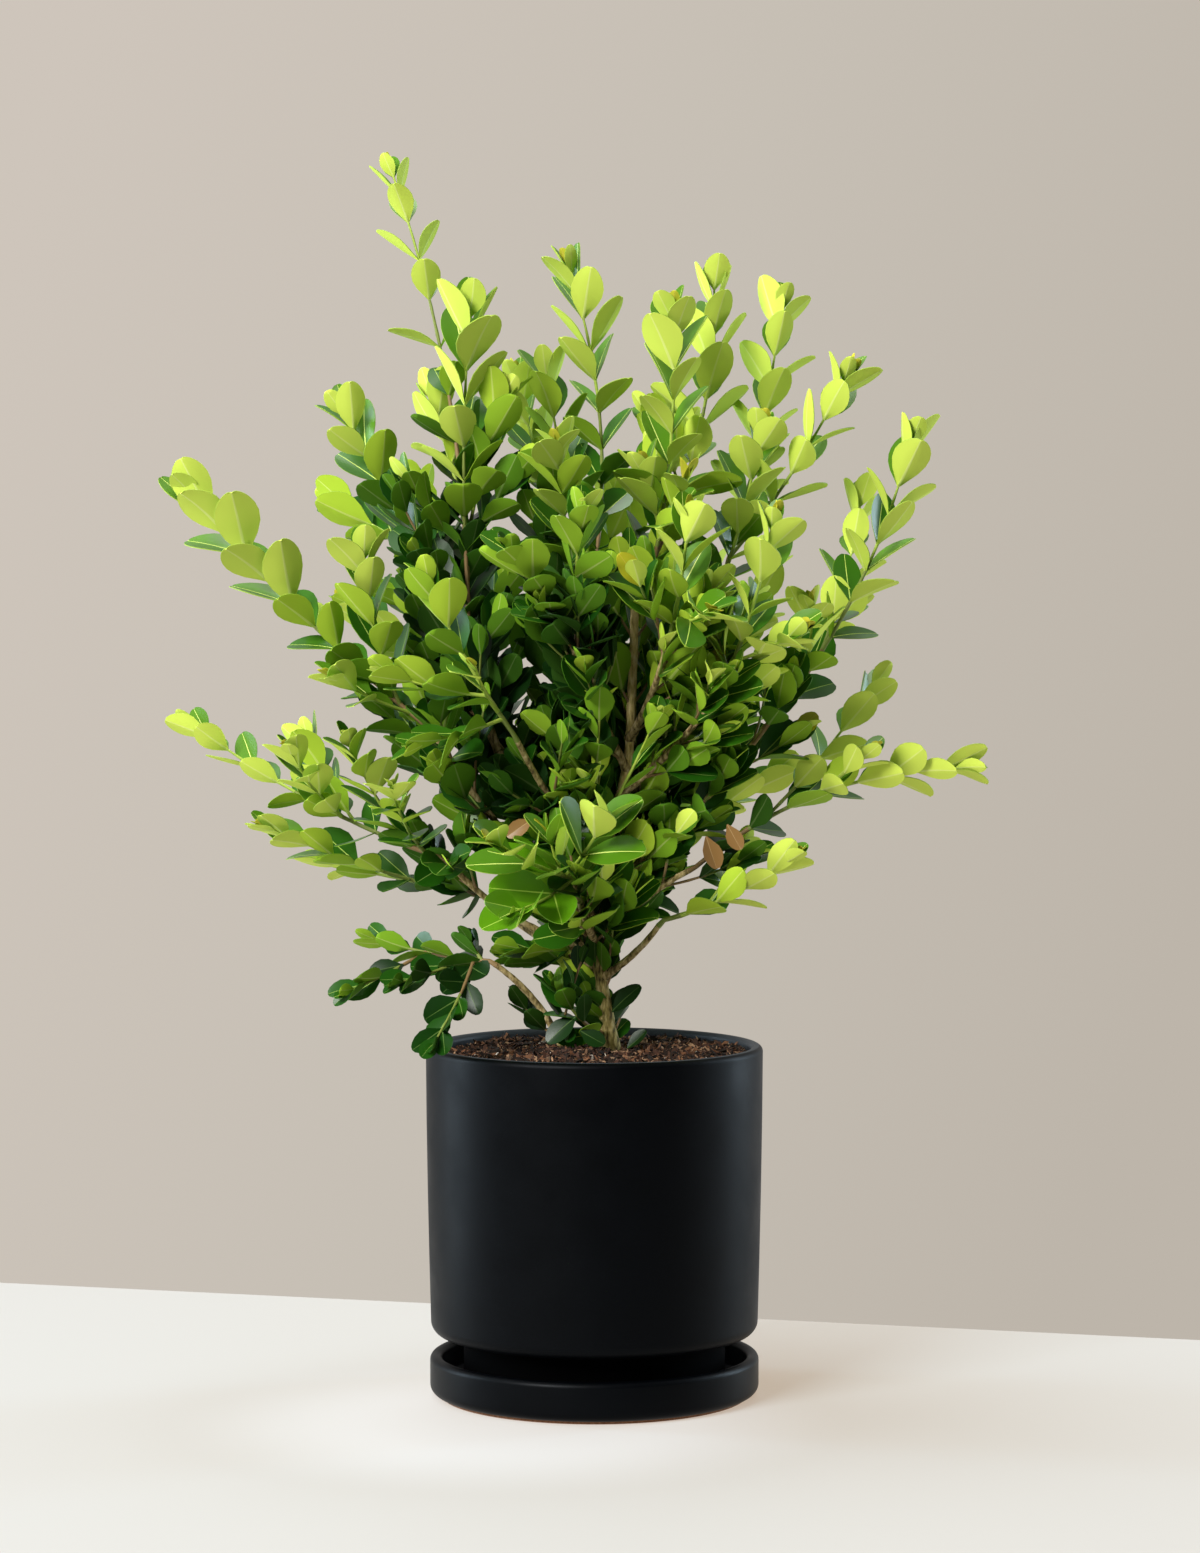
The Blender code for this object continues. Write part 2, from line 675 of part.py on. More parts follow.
def make_saucer(collection, material):
    wall = SAUCER_WALL / 2
    inside = SAUCER_RADIUS - SAUCER_WALL
    edge = (SAUCER_RADIUS - SAUCER_EDGE, SAUCER_BASE_HEIGHT + SAUCER_EDGE)
    profile = [
        (0, SAUCER_FLOOR),
        (inside - SAUCER_FILLET, SAUCER_FLOOR),
        (inside, SAUCER_FLOOR + SAUCER_FILLET),
        *arc((SAUCER_RADIUS - wall, SAUCER_HEIGHT - wall), wall, 180, 0, 4),
        *arc(edge, SAUCER_EDGE, 0, -90, 2),
        (SAUCER_BASE_RADIUS, SAUCER_BASE_HEIGHT),
        (SAUCER_BASE_RADIUS, 0),
        (0, 0),
    ]
    return turned("saucer", profile, collection, material)


def make_pot(collection, material):
    lip = POT_WALL / 2
    low = POT_RADIUS - POT_TAPER
    floor = POT_BOTTOM + POT_WALL
    foot = SAUCER_FLOOR + CLEARANCE
    profile = [
        (0, floor),
        (low - POT_WALL, floor),
        *arc((POT_RADIUS - lip, POT_TOP - lip), lip, 180, 0, 4),
        (POT_RADIUS - POT_TAPER * POT_TAPER_HALFWAY, (POT_TOP + POT_BOTTOM) / 2),
        *arc((low - POT_CORNER, POT_BOTTOM + POT_CORNER), POT_CORNER, 0, -90, 3),
        (POT_FOOT_RADIUS, POT_BOTTOM),
        (POT_FOOT_RADIUS, foot),
        (0, foot),
    ]
    return turned("pot", profile, collection, material)


def make_soil(collection, material):
    """The soil fills the pot, clear of its walls. Its top is level and dips a little at the wall."""
    top = POT_RADIUS - POT_WALL - 2 * CLEARANCE
    low = POT_RADIUS - POT_TAPER - POT_WALL - CLEARANCE
    floor = POT_BOTTOM + POT_WALL + CLEARANCE
    profile = [
        (0, SOIL_TOP + SOIL_MOUND),
        (SOIL_LEVEL_TO, SOIL_TOP + SOIL_MOUND),
        (SOIL_DIPS_FROM, SOIL_TOP + SOIL_MOUND / 2),
        (top, SOIL_TOP - SOIL_MOUND),
        (low, floor),
        (0, floor),
    ]
    return turned("soil", profile, collection, material)


def make_sleeves(made, parents, cutters):
    """A cutter round each parent limb, wider by the clearance, for what grows from its side."""
    curves = []
    for parent in sorted(parents):
        path, radii = made[parent]
        wider = [radius + CLEARANCE for radius in radii]
        curves.append(curve_tube("around_" + parent, path, wider, LIMB_SIDES, cutters))
    sleeves = as_meshes(curves)
    for sleeve in sleeves:
        sleeve.hide_render = True
        sleeve.display_type = "WIRE"
    return dict(zip(sorted(parents), sleeves))


def cut_saddle(obj, sleeve):
    """Cuts the foot of what grows from a limb's side, so that it sits on the limb."""
    cut = obj.modifiers.new("saddle", "BOOLEAN")
    cut.operation = "DIFFERENCE"
    cut.object = sleeve


def make_limbs(made, sleeves, collection, material):
    """The trunk and its boughs."""
    tubes = [curve_tube(name, path, radii, LIMB_SIDES, collection) for name, (path, radii) in made.items()]
    for obj in as_meshes(tubes):
        if obj.name in BOUGHS:
            cut_saddle(obj, sleeves[BOUGHS[obj.name][0]])
            apply_modifiers(obj)
            largest_piece(obj)
        obj.data.materials.clear()
        obj.data.materials.append(material)


def leaf_mesh():
    """A flat kite with a keel below, its root at the origin and its tip at +Z, one unit long."""
    body = bmesh.new()
    bmesh.ops.create_cone(body, cap_ends=True, segments=4, radius1=1, radius2=0, depth=1)
    for vertex in body.verts:
        x, y, z = vertex.co
        if z > 0:
            vertex.co = (0, -LEAF_THICKNESS, THICKEST_AT)
        elif abs(x) > 0.5:
            vertex.co = (math.copysign(LEAF_WIDTH / 2, x), 0, WIDEST_AT)
        else:
            vertex.co = (0, 0, 1 if y > 0 else 0)
    bmesh.ops.triangulate(body, faces=body.faces)
    bmesh.ops.recalc_face_normals(body, faces=body.faces)
    mesh = bpy.data.meshes.new("leaf")
    body.to_mesh(mesh)
    body.free()
    return mesh


def make_mass(name, twigs, leaves, leaf, section, sleeve, collection, material):
    """Fuses the twigs and leaves of one mass into one solid, and cuts its foot clear of any sleeve."""
    loose = new_collection(name + "_loose")
    curves = [curve_tube(f"{name}_twig_{i}", *twig, section, loose) for i, twig in enumerate(twigs)]
    stem, *rest = as_meshes(curves)
    for i, matrix in enumerate(leaves):
        add_object(f"{name}_leaf_{i}", leaf, loose).matrix_world = matrix
    obj = add_object(name, stem.data, collection, material)
    bpy.data.objects.remove(stem, do_unlink=True)
    union = obj.modifiers.new("fused", "BOOLEAN")
    union.operation = "UNION"
    union.operand_type = "COLLECTION"
    union.collection = loose
    if sleeve:
        cut_saddle(obj, sleeve)
    apply_modifiers(obj)
    largest_piece(obj)
    for helper in list(loose.objects):
        bpy.data.objects.remove(helper, do_unlink=True)
    bpy.data.collections.remove(loose)
    return obj


def main():
    clear_scene()
    part = new_collection("potted_boxwood")
    cutters = new_collection("cutters")
    materials = make_materials()
    make_saucer(part, materials["glaze"])
    make_pot(part, materials["glaze"])
    make_soil(part, materials["soil"])
    made = limbs()
    sleeves = make_sleeves(made, {row[0] for row in BOUGHS.values()}, cutters)
    make_limbs(made, sleeves, part, materials["bark"])
    leaders = all_leaders(made)
    space = Space(made, leaders)
    leaf = leaf_mesh()
    section = triangle_section(cutters)
    sizes = {name: row[1] for name, row in (MASSES | TRUNK_MASSES).items()}
    for i, (name, paths) in enumerate(leaders.items()):
        twigs, leaves = grow_mass(name, paths, sizes[name], space, random.Random(SEED + i))
        sleeve = sleeves["trunk"] if name in TRUNK_MASSES else None
        make_mass(name, twigs, leaves, leaf, section, sleeve, part, materials["leaf"])


if __name__ == "__main__":
    main()
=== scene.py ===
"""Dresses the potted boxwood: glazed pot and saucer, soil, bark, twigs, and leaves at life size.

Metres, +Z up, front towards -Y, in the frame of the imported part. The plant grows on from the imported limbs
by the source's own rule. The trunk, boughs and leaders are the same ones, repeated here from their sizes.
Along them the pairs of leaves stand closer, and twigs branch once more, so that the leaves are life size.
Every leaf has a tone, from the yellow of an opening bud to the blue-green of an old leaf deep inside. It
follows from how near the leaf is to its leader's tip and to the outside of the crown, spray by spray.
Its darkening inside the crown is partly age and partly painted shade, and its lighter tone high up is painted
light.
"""

import math
import random
from typing import NamedTuple

import bmesh
import bpy
import numpy as np
from mathutils import Matrix, Vector, noise
from mathutils.kdtree import KDTree


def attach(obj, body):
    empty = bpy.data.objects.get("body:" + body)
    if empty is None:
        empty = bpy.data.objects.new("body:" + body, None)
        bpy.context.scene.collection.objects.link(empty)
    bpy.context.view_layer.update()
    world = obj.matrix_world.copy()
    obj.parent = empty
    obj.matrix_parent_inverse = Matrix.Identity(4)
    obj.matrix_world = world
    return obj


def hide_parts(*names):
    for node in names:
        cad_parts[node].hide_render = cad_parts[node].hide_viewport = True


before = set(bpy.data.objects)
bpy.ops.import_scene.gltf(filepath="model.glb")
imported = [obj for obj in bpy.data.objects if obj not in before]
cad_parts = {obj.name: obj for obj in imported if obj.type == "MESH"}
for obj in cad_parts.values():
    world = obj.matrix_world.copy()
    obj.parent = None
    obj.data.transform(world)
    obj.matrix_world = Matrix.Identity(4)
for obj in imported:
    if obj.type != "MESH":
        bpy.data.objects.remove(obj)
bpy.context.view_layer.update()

UP = Vector((0, 0, 1))

CLEARANCE = 0.0003

# Pot and saucer
SAUCER_RADIUS = 0.088
SAUCER_HEIGHT = 0.0225
SAUCER_WALL = 0.0065
SAUCER_FLOOR = 0.006
SAUCER_FILLET = 0.004  # where its floor turns up
SAUCER_EDGE = 0.005  # rounding of its lower edge
SAUCER_BASE_RADIUS = 0.082  # the slim unglazed base that it stands on
SAUCER_BASE_HEIGHT = 0.0015
POT_RADIUS = 0.090
POT_TAPER = 0.0025  # how much narrower the body is at its lower edge
POT_TAPER_HALFWAY = 0.35  # share of the taper that is reached halfway down
POT_TOP = 0.188
POT_BOTTOM = 0.0335
POT_WALL = 0.0065
POT_CORNER = 0.007
POT_FOOT_RADIUS = 0.070
SOIL_TOP = 0.1825
SOIL_MOUND = 0.0012
SOIL_DIPS_FROM = 0.075  # the radius from which its top dips to the wall

GROUND = SOIL_TOP + SOIL_MOUND + CLEARANCE
LEVEL_FOOT = 0.0015  # a limb that stands on the soil starts straight up, so its cut is level

# Trunk and boughs
TRUNK_BENDS = (  # from just over the soil to the cut tip
    (0.0083, 0.008, GROUND + LEVEL_FOOT),
    (0.0060, 0.007, 0.206),
    (0.0022, 0.005, 0.232),
    (0.0010, 0.000, 0.262),
    (0.0080, -0.005, 0.300),
    (0.0175, -0.012, 0.338),
    (0.0200, -0.014, 0.380),
    (0.0215, -0.015, 0.425),
)
TRUNK_RADIUS = 0.0034
TRUNK_TIP_RADIUS = 0.0021
FLARE = 0.0024  # added at the soil
FLARE_HEIGHT = 0.007
BOUGH_RADIUS = 0.0022
BOUGH_TIP_RADIUS = 0.0015

# Boughs: parent, height at which it leaves the parent, tip, bow (how far it bends out and then up)
BOUGHS = {
    "right_foot_bough": ("trunk", 0.223, (0.034, -0.008, 0.252), 0.10),
    "right_low_bough": ("trunk", 0.234, (0.050, -0.003, 0.281), -0.16),
    "right_bough": ("trunk", 0.268, (0.090, 0.002, 0.356), 0.08),
    "upper_right_bough": ("trunk", 0.303, (0.060, 0.010, 0.410), 0.10),
    "front_right_bough": ("trunk", 0.322, (0.062, -0.044, 0.372), 0.06),
    "front_upper_bough": ("trunk", 0.352, (0.038, -0.058, 0.402), 0.08),
    "front_centre_bough": ("trunk", 0.336, (-0.012, -0.054, 0.404), 0.08),
    "front_left_bough": ("trunk", 0.284, (-0.040, -0.052, 0.352), 0.08),
    "front_bough": ("trunk", 0.241, (-0.010, -0.050, 0.278), 0.10),
    "mid_bough": ("trunk", 0.290, (-0.012, 0.016, 0.385), 0.06),
    "left_bough": ("trunk", 0.262, (-0.066, -0.012, 0.400), 0.14),
    "left_upper_bough": ("left_bough", 0.345, (-0.082, 0.018, 0.428), 0.08),
    "left_mid_bough": ("trunk", 0.250, (-0.087, -0.020, 0.356), 0.06),
    "left_low_bough": ("trunk", 0.238, (-0.076, -0.004, 0.284), 0.16),
    "left_foot_bough": ("trunk", 0.228, (-0.056, 0.032, 0.262), 0.08),
    "back_bough": ("trunk", 0.312, (0.006, 0.052, 0.398), 0.12),
    "back_left_bough": ("trunk", 0.278, (-0.046, 0.054, 0.350), 0.08),
    "back_right_bough": ("trunk", 0.284, (0.058, 0.052, 0.350), 0.08),
    "back_far_bough": ("trunk", 0.256, (-0.006, 0.064, 0.312), 0.08),
    "back_low_bough": ("trunk", 0.244, (0.026, 0.054, 0.280), 0.08),
}
# One bough comes out of the soil by itself and droops over the rim.
DROOP_BOUGH = "droop_bough"
DROOP_FOOT = (-0.017, 0.004, GROUND + LEVEL_FOOT)
DROOP_TIP = (-0.052, -0.008, 0.231)
DROOP_BOW = -0.14


class Leader(NamedTuple):
    """One leader of a mass. Those beyond the source's are finer ones between them."""

    share: float  # of the stem's length at which it starts
    tip: tuple
    bow: float
    leaf: float = 1  # its leaf size and its spacing, as shares of the usual
    spacing: float = 1
    reach: float = 0  # how far behind its tip these hold, and it bears no side shoots
    trim: float = 0  # how much shorter it is than in the source, or longer where negative
    age: float = 0  # how much older its leaves are, as a distance behind a tip


class Mass(NamedTuple):
    """A mass of twigs and leaves. Its stem meets the limb's tip, or stands off the trunk at a height."""

    limb: str
    leaf: float  # leaf size in life
    leaders: list  # the stem first
    height: float = None
    # A mass's tint is partly its own tone and partly painted light and shade: lighter for masses in the
    # light, darker for those in shade
    tint: float = 0  # added to its leaves' tones
    opened: float = 0  # how far its older leaves turn their upper faces to OPEN_SIDE
    # The darkening of its oldest leaves is partly age and partly painted shade
    shade: float = 0  # how much darker its oldest leaves are
    bare: float = 1  # of BARE_TIPS
    wood: float = 0  # how much older its twigs are than its leaves, as a distance behind a tip
    upright: bool = False  # whether its leaves don't turn to GROWN_TOWARDS
    kind: str = ""  # the one tone that its leaves have, if any


WHOLE = 0.2  # a reach that takes in a whole leader
MASSES = {
    "tall_left": Mass("left_bough", 0.024, tint=-0.07, bare=1.7, leaders=[
        Leader(0, (-0.109, 0.020, 0.656), -0.09, leaf=0.86, spacing=1.50, reach=0.165),
        Leader(0.12, (-0.065, -0.030, 0.576), 0.04, leaf=1.24, spacing=0.95, reach=0.070, trim=-0.002),
        Leader(0.30, (-0.092, 0.030, 0.560), 0.04, trim=0.026),
        Leader(0.20, (-0.048, -0.020, 0.535), 0.04),
    ]),
    "top_centre": Mass("mid_bough", 0.024, tint=0.09, bare=2.3, leaders=[
        Leader(0, (-0.013, 0.000, 0.600), -0.16, trim=-0.002),
        Leader(0.12, (-0.019, -0.070, 0.505), 0.08),
        Leader(0.20, (-0.042, 0.030, 0.545), 0.06),
        Leader(0.25, (-0.026, 0.010, 0.548), 0.04),
    ]),
    "top_right_inner": Mass("trunk", 0.025, tint=0.14, bare=1.6, leaders=[
        Leader(0, (0.064, 0.020, 0.598), 0.15, trim=0.002),
        Leader(0.15, (0.041, -0.030, 0.576), 0.08),
        Leader(0.20, (0.016, -0.044, 0.530), 0.04, trim=0.040),
    ]),
    "top_right": Mass("upper_right_bough", 0.024, tint=0.12, bare=3.2, leaders=[
        Leader(0, (0.101, 0.036, 0.586), 0.06, reach=WHOLE),
        Leader(0.22, (0.134, -0.010, 0.545), 0.06, reach=WHOLE),
        Leader(0.15, (0.088, -0.012, 0.516), 0.05),
    ]),
    "right_upper": Mass("right_bough", 0.023, tint=0.10, opened=0.9, shade=0.10, bare=3.6, leaders=[
        Leader(0, (0.167, -0.020, 0.511), 0.12, leaf=1.06, reach=WHOLE),
        Leader(0.20, (0.113, -0.044, 0.428), 0.08, spacing=1.25, reach=WHOLE, trim=0.006),
        Leader(0.30, (0.144, 0.034, 0.481), 0.06, spacing=1.25, reach=WHOLE),
    ]),
    "right_lower": Mass("right_low_bough", 0.021, tint=0.22, opened=1.2, shade=0.60, bare=5.6, leaders=[
        Leader(0, (0.198, 0.000, 0.336), -0.18, leaf=1.06, spacing=1.15, reach=WHOLE),
        Leader(0.30, (0.159, 0.034, 0.392), 0.06, spacing=1.45, reach=WHOLE, trim=0.012),
        Leader(0.45, (0.160, -0.032, 0.362), 0.08, leaf=0.98, spacing=1.55, reach=WHOLE, trim=0.024),
    ]),
    "right_low": Mass("right_foot_bough", 0.021, tint=-0.02, opened=1.0, shade=0.30, bare=4.4, leaders=[
        Leader(0, (0.104, -0.030, 0.290), 0.10, spacing=1.30, reach=WHOLE),
        Leader(0.35, (0.080, 0.020, 0.296), 0.08, leaf=0.92, spacing=1.50, reach=WHOLE),
    ]),
    "front_right": Mass("front_right_bough", 0.023, opened=0.8, leaders=[
        Leader(0, (0.092, -0.080, 0.466), 0.08, leaf=1.06, spacing=1.10, reach=0.050),
        Leader(0.25, (0.104, -0.086, 0.410), 0.08, leaf=1.06, spacing=1.10, reach=0.050),
    ]),
    "front_upper": Mass("front_upper_bough", 0.026, leaders=[
        Leader(0, (0.048, -0.098, 0.468), 0.08),
        Leader(0.20, (0.058, -0.118, 0.420), 0.08),
    ]),
    "front_centre": Mass("front_centre_bough", 0.024, tint=-0.22, leaders=[
        Leader(0, (-0.006, -0.098, 0.470), 0.08),
        Leader(0.20, (-0.044, -0.104, 0.452), 0.06),
    ]),
    "front_left": Mass("front_left_bough", 0.023, tint=-0.02, leaders=[
        Leader(0, (-0.086, -0.084, 0.436), 0.06),
        Leader(0.20, (-0.060, -0.112, 0.392), 0.08),
        Leader(0.30, (-0.106, -0.074, 0.388), 0.08),
        Leader(0.15, (-0.090, -0.086, 0.352), 0.05),
    ]),
    "front_low": Mass("front_bough", 0.027, upright=True, kind="fresh", leaders=[
        Leader(0, (-0.050, -0.122, 0.304), 0.06, leaf=1.06, spacing=1.15, reach=WHOLE),
        Leader(0.15, (0.008, -0.104, 0.318), 0.08, leaf=1.10, spacing=1.20, reach=WHOLE),
        Leader(0.20, (-0.030, -0.096, 0.330), 0.04, leaf=1.06, spacing=1.30, reach=WHOLE, trim=0.030),
        Leader(0.04, (-0.040, -0.112, 0.268), 0.06, leaf=1.10, spacing=1.20, reach=WHOLE, age=0.03),
    ]),
    "left_high": Mass("left_upper_bough", 0.024, tint=-0.12, bare=2.1, leaders=[
        Leader(0, (-0.134, 0.004, 0.527), 0.02),
        Leader(0.25, (-0.146, 0.046, 0.484), 0.06, trim=0.008),
    ]),
    "left_far": Mass("left_mid_bough", 0.025, tint=0.02, bare=2.2, leaders=[
        Leader(0, (-0.213, -0.022, 0.483), 0.05, leaf=1.18, spacing=0.84, reach=0.110, trim=0.002),
        Leader(0.12, (-0.120, -0.050, 0.452), 0.10),
        Leader(0.35, (-0.148, 0.024, 0.430), 0.06, trim=0.030),
        Leader(0.08, (-0.135, -0.052, 0.385), 0.06),
    ]),
    "left_mid": Mass("left_low_bough", 0.021, tint=-0.01, bare=2.3, leaders=[
        Leader(0, (-0.218, 0.020, 0.360), 0.08, leaf=0.96, spacing=1.18, reach=WHOLE),
        Leader(0.10, (-0.104, -0.086, 0.330), 0.06, leaf=0.90, spacing=1.35, reach=WHOLE),
        Leader(0.35, (-0.164, 0.034, 0.376), 0.08, trim=0.026),
        Leader(0.40, (-0.160, -0.034, 0.346), 0.06),
        Leader(0.15, (-0.128, -0.050, 0.352), 0.06),
        Leader(0.02, (-0.076, -0.050, 0.288), 0.06, age=0.15),
    ]),
    "left_low": Mass("left_foot_bough", 0.021, tint=-0.10, bare=3.3, leaders=[
        Leader(0, (-0.174, 0.000, 0.304), 0.06),
        Leader(0.35, (-0.150, 0.048, 0.283), 0.02),
        Leader(0.02, (-0.078, 0.004, 0.276), 0.06, age=0.15),
        Leader(0.15, (-0.094, 0.010, 0.300), 0.05, age=0.12),
    ]),
    "droop": Mass(DROOP_BOUGH, 0.014, tint=-0.58, opened=0.5, wood=0.085, upright=True, leaders=[
        Leader(0, (-0.121, 0.018, 0.244), 0.06, leaf=1.22, spacing=1.25, reach=WHOLE),
        Leader(0.12, (-0.072, 0.004, 0.254), 0.04, leaf=1.16, spacing=1.30, reach=WHOLE, trim=0.010),
        Leader(0.18, (-0.083, -0.066, 0.196), -0.10, leaf=1.26, spacing=1.15, reach=WHOLE),
        Leader(0.55, (-0.130, -0.030, 0.219), 0.04, leaf=1.20, spacing=1.25, reach=WHOLE),
        Leader(0.25, (-0.104, -0.034, 0.224), 0.06, leaf=1.20, spacing=1.25, reach=WHOLE),
    ]),
    "back_centre": Mass("back_bough", 0.023, bare=1.8, leaders=[
        Leader(0, (0.012, 0.086, 0.580), 0.04, trim=0.095),
        Leader(0.15, (-0.046, 0.082, 0.542), 0.06),
        Leader(0.20, (0.056, 0.086, 0.540), 0.06, trim=0.020),
    ]),
    "back_left": Mass("back_left_bough", 0.023, tint=-0.10, leaders=[
        Leader(0, (-0.100, 0.108, 0.492), 0.06),
        Leader(0.20, (-0.136, 0.086, 0.424), 0.08),
        Leader(0.20, (-0.056, 0.140, 0.446), 0.08),
    ]),
    "back_right": Mass("back_right_bough", 0.023, opened=0.5, bare=2.6, leaders=[
        Leader(0, (0.108, 0.104, 0.484), 0.06, trim=0.040),
        Leader(0.20, (0.146, 0.080, 0.424), 0.08, leaf=0.90, spacing=1.30, reach=WHOLE),
        Leader(0.20, (0.060, 0.140, 0.446), 0.08),
    ]),
    "back_far": Mass("back_far_bough", 0.022, tint=-0.10, leaders=[
        Leader(0, (-0.014, 0.178, 0.412), 0.08),
        Leader(0.20, (-0.076, 0.150, 0.366), 0.06),
    ]),
    "back_low": Mass("back_low_bough", 0.021, opened=0.9, bare=3.4, leaders=[
        Leader(0, (0.060, 0.164, 0.352), 0.06),
        Leader(0.25, (0.104, 0.100, 0.330), 0.06),
        Leader(0.30, (0.016, 0.152, 0.322), 0.06),
    ]),
    "foot_sprout": Mass("trunk", 0.017, height=0.194, tint=-0.40, wood=0.1, upright=True, leaders=[
        Leader(0, (-0.021, -0.016, 0.222), 0.10),
    ]),
    "inner_right_low": Mass("trunk", 0.018, height=0.256, opened=0.9, leaders=[
        Leader(0, (0.046, 0.016, 0.300), 0.06, leaf=1.10, spacing=1.15, reach=WHOLE),
    ]),
    "inner_right": Mass("trunk", 0.019, height=0.344, opened=0.9, leaders=[
        Leader(0, (0.058, 0.006, 0.368), 0.06, leaf=1.10, spacing=1.15, reach=WHOLE),
        Leader(0.30, (0.044, -0.040, 0.400), 0.05, leaf=1.10, spacing=1.15, reach=WHOLE),
    ]),
    "inner_front": Mass("trunk", 0.019, height=0.298, leaders=[
        Leader(0, (-0.014, -0.050, 0.332), 0.06),
        Leader(0.35, (0.003, -0.054, 0.372), 0.05),
        Leader(0.25, (0.032, -0.052, 0.364), 0.05),
    ]),
    "inner_left": Mass("trunk", 0.019, height=0.316, leaders=[
        Leader(0, (-0.026, -0.020, 0.362), 0.06),
    ]),
    "inner_back": Mass("trunk", 0.019, height=0.330, leaders=[
        Leader(0, (0.030, 0.034, 0.380), 0.06),
    ]),
}

# Finer than the source's, along the same curves
FINE_TRUNK_STEPS = 5
FINE_LIMB_POINTS = 12
FINE_LEADER_POINTS = 14
FINE_SIDE_POINTS = 7

# Growth at life size
LEAF_SIZES = (1.10, 1.42)  # least and most, of the mass's leaf size
END_LEAVES = (0.34, 0.60, 0.90)  # share of the full size of the last pairs, from the tip
OLD_END_LEAVES = (0.60, 0.84, 0.95)  # the same where the shoot ends this far behind its leader's tip
OLD_FROM = 0.045
INTERNODE = 0.83  # leaf lengths between one pair and the next
INTERNODE_AT_TIP = 0.74  # of INTERNODE
SPACING_VARIES = (0.86, 1.14)
BARE_FOOT = 0.06  # share of a leader with no leaves
FIRST_PAIR = 0.006  # from a shoot's foot, at least
YOUNG_LENGTH = 0.11  # behind the tip, over which leaves grow from young to old
BUD_SPREAD = math.radians(11)  # a leaf's angle from its twig at the tip, just behind it, and lower down
YOUNG_SPREAD = math.radians(26)
OLD_SPREAD = math.radians(50)
ANGLE_VARIES = (0.78, 1.24)
LEAF_ROLL = math.radians(13)
TURN_VARIES = math.radians(17)
LEVEL_FROM = 0.55  # a shoot nearer to level than this turns its pairs towards the level
LEVEL_PULL = 0.9
LIGHT_PULL = 1.1  # how far a level shoot's leaves turn their upper faces up
GROWN_TOWARDS = Vector((0.10, 0.86, 0.50))  # the light from behind to which the plant grew
TOWARDS_PULLS = (-0.10, 0.72)  # how far leaves turn to it, the oldest and the youngest
PULL_VARIES = (0.4, 1.5)
OPEN_SIDE = Vector((0.15, -0.85, 0.45))  # to which older leaves of some masses turn their upper faces
OPEN_FROM = 0.35  # share of the young reach behind a tip at which leaves count as older
SIDE_SHOOT_EVERY = (2, 2)  # pairs of leaves, on a leader and on its side shoots
BARE_TIPS = (2.9, 1.3)  # leaf lengths behind the tip that bear no side shoots, on the same two
SIDE_SHOOT_ANGLE = math.radians(46)
SIDE_SHOOT_SHARE = (0.40, 0.5)  # of what is left of the shoot that it leaves
SIDE_SHOOT_LEAF = 0.92  # of the leaf size of the shoot that it leaves
SIDE_SHOOT_BOW = 0.08
SIDE_SHOOT_RISE = 0.28  # how much it turns up, against its own direction of 1
LONGEST_SIDE_SHOOT = 0.068
SHORTEST_SIDE_SHOOT = 0.022
STEM_RADIUS = 0.0014
STEM_LEAD = 0.004
TWIG_RADIUS = (0.0011, 0.0008, 0.00065)  # at the foot of a leader, a side shoot and its own side shoots
TIP_RADIUS = 0.00052
BORROWED = 0.006  # how far twigs and leaves may reach over a neighbour's border
SPRAY_FROM = 0.08  # share of a limb below which it bears no sprays
SPRAY_EVERY = 0.0165
SPRAY_DENSITY = {  # where it isn't 1
    "right_foot_bough": 0.1,
    "right_low_bough": 0.4,
    "left_low_bough": 0.25,
    "left_foot_bough": 0.15,
    "droop_bough": 0.25,
    "front_centre_bough": 2.2,
    "front_upper_bough": 2.2,
    "front_right_bough": 1.7,
}
SPRAY_LENGTHS = (0.026, 0.050)
SPRAY_RISE = 0.5
SPRAY_LEAF = 0.98  # of the mass's leaf size
SPRAY_BEHIND = 0.10  # its leaves are as old as those this far behind a leader's tip
# Up the trunk's foot from, to and every, their lengths and their leaf size
FOOT_SPRAYS = (0.004, 0.048, 0.0045, (0.011, 0.019), 0.017)
OPEN_HEIGHTS = ((0.184, 0.236), (0.322, 0.420))  # where the trunk shows, with no leaves before it
OPEN_HALF_WIDTH = 0.0075
OPEN_BEFORE = 0.004  # how far in front of the trunk's centre line no leaves stand
HOLLOWS = (  # ovals in X and Z, with their half sizes, that are open from the front to this Y
    (-0.042, 0.378, 0.022, 0.036, -0.028),
    (0.026, 0.224, 0.015, 0.022, 0.020),
)
LEAF_CLEAR = 0.0006  # of the pot's wall and the soil
CHECKED_AT = (0.6, 1)  # shares of a leaf's length that have to be in the open
PATH_STEP = 0.004
SEED = 7
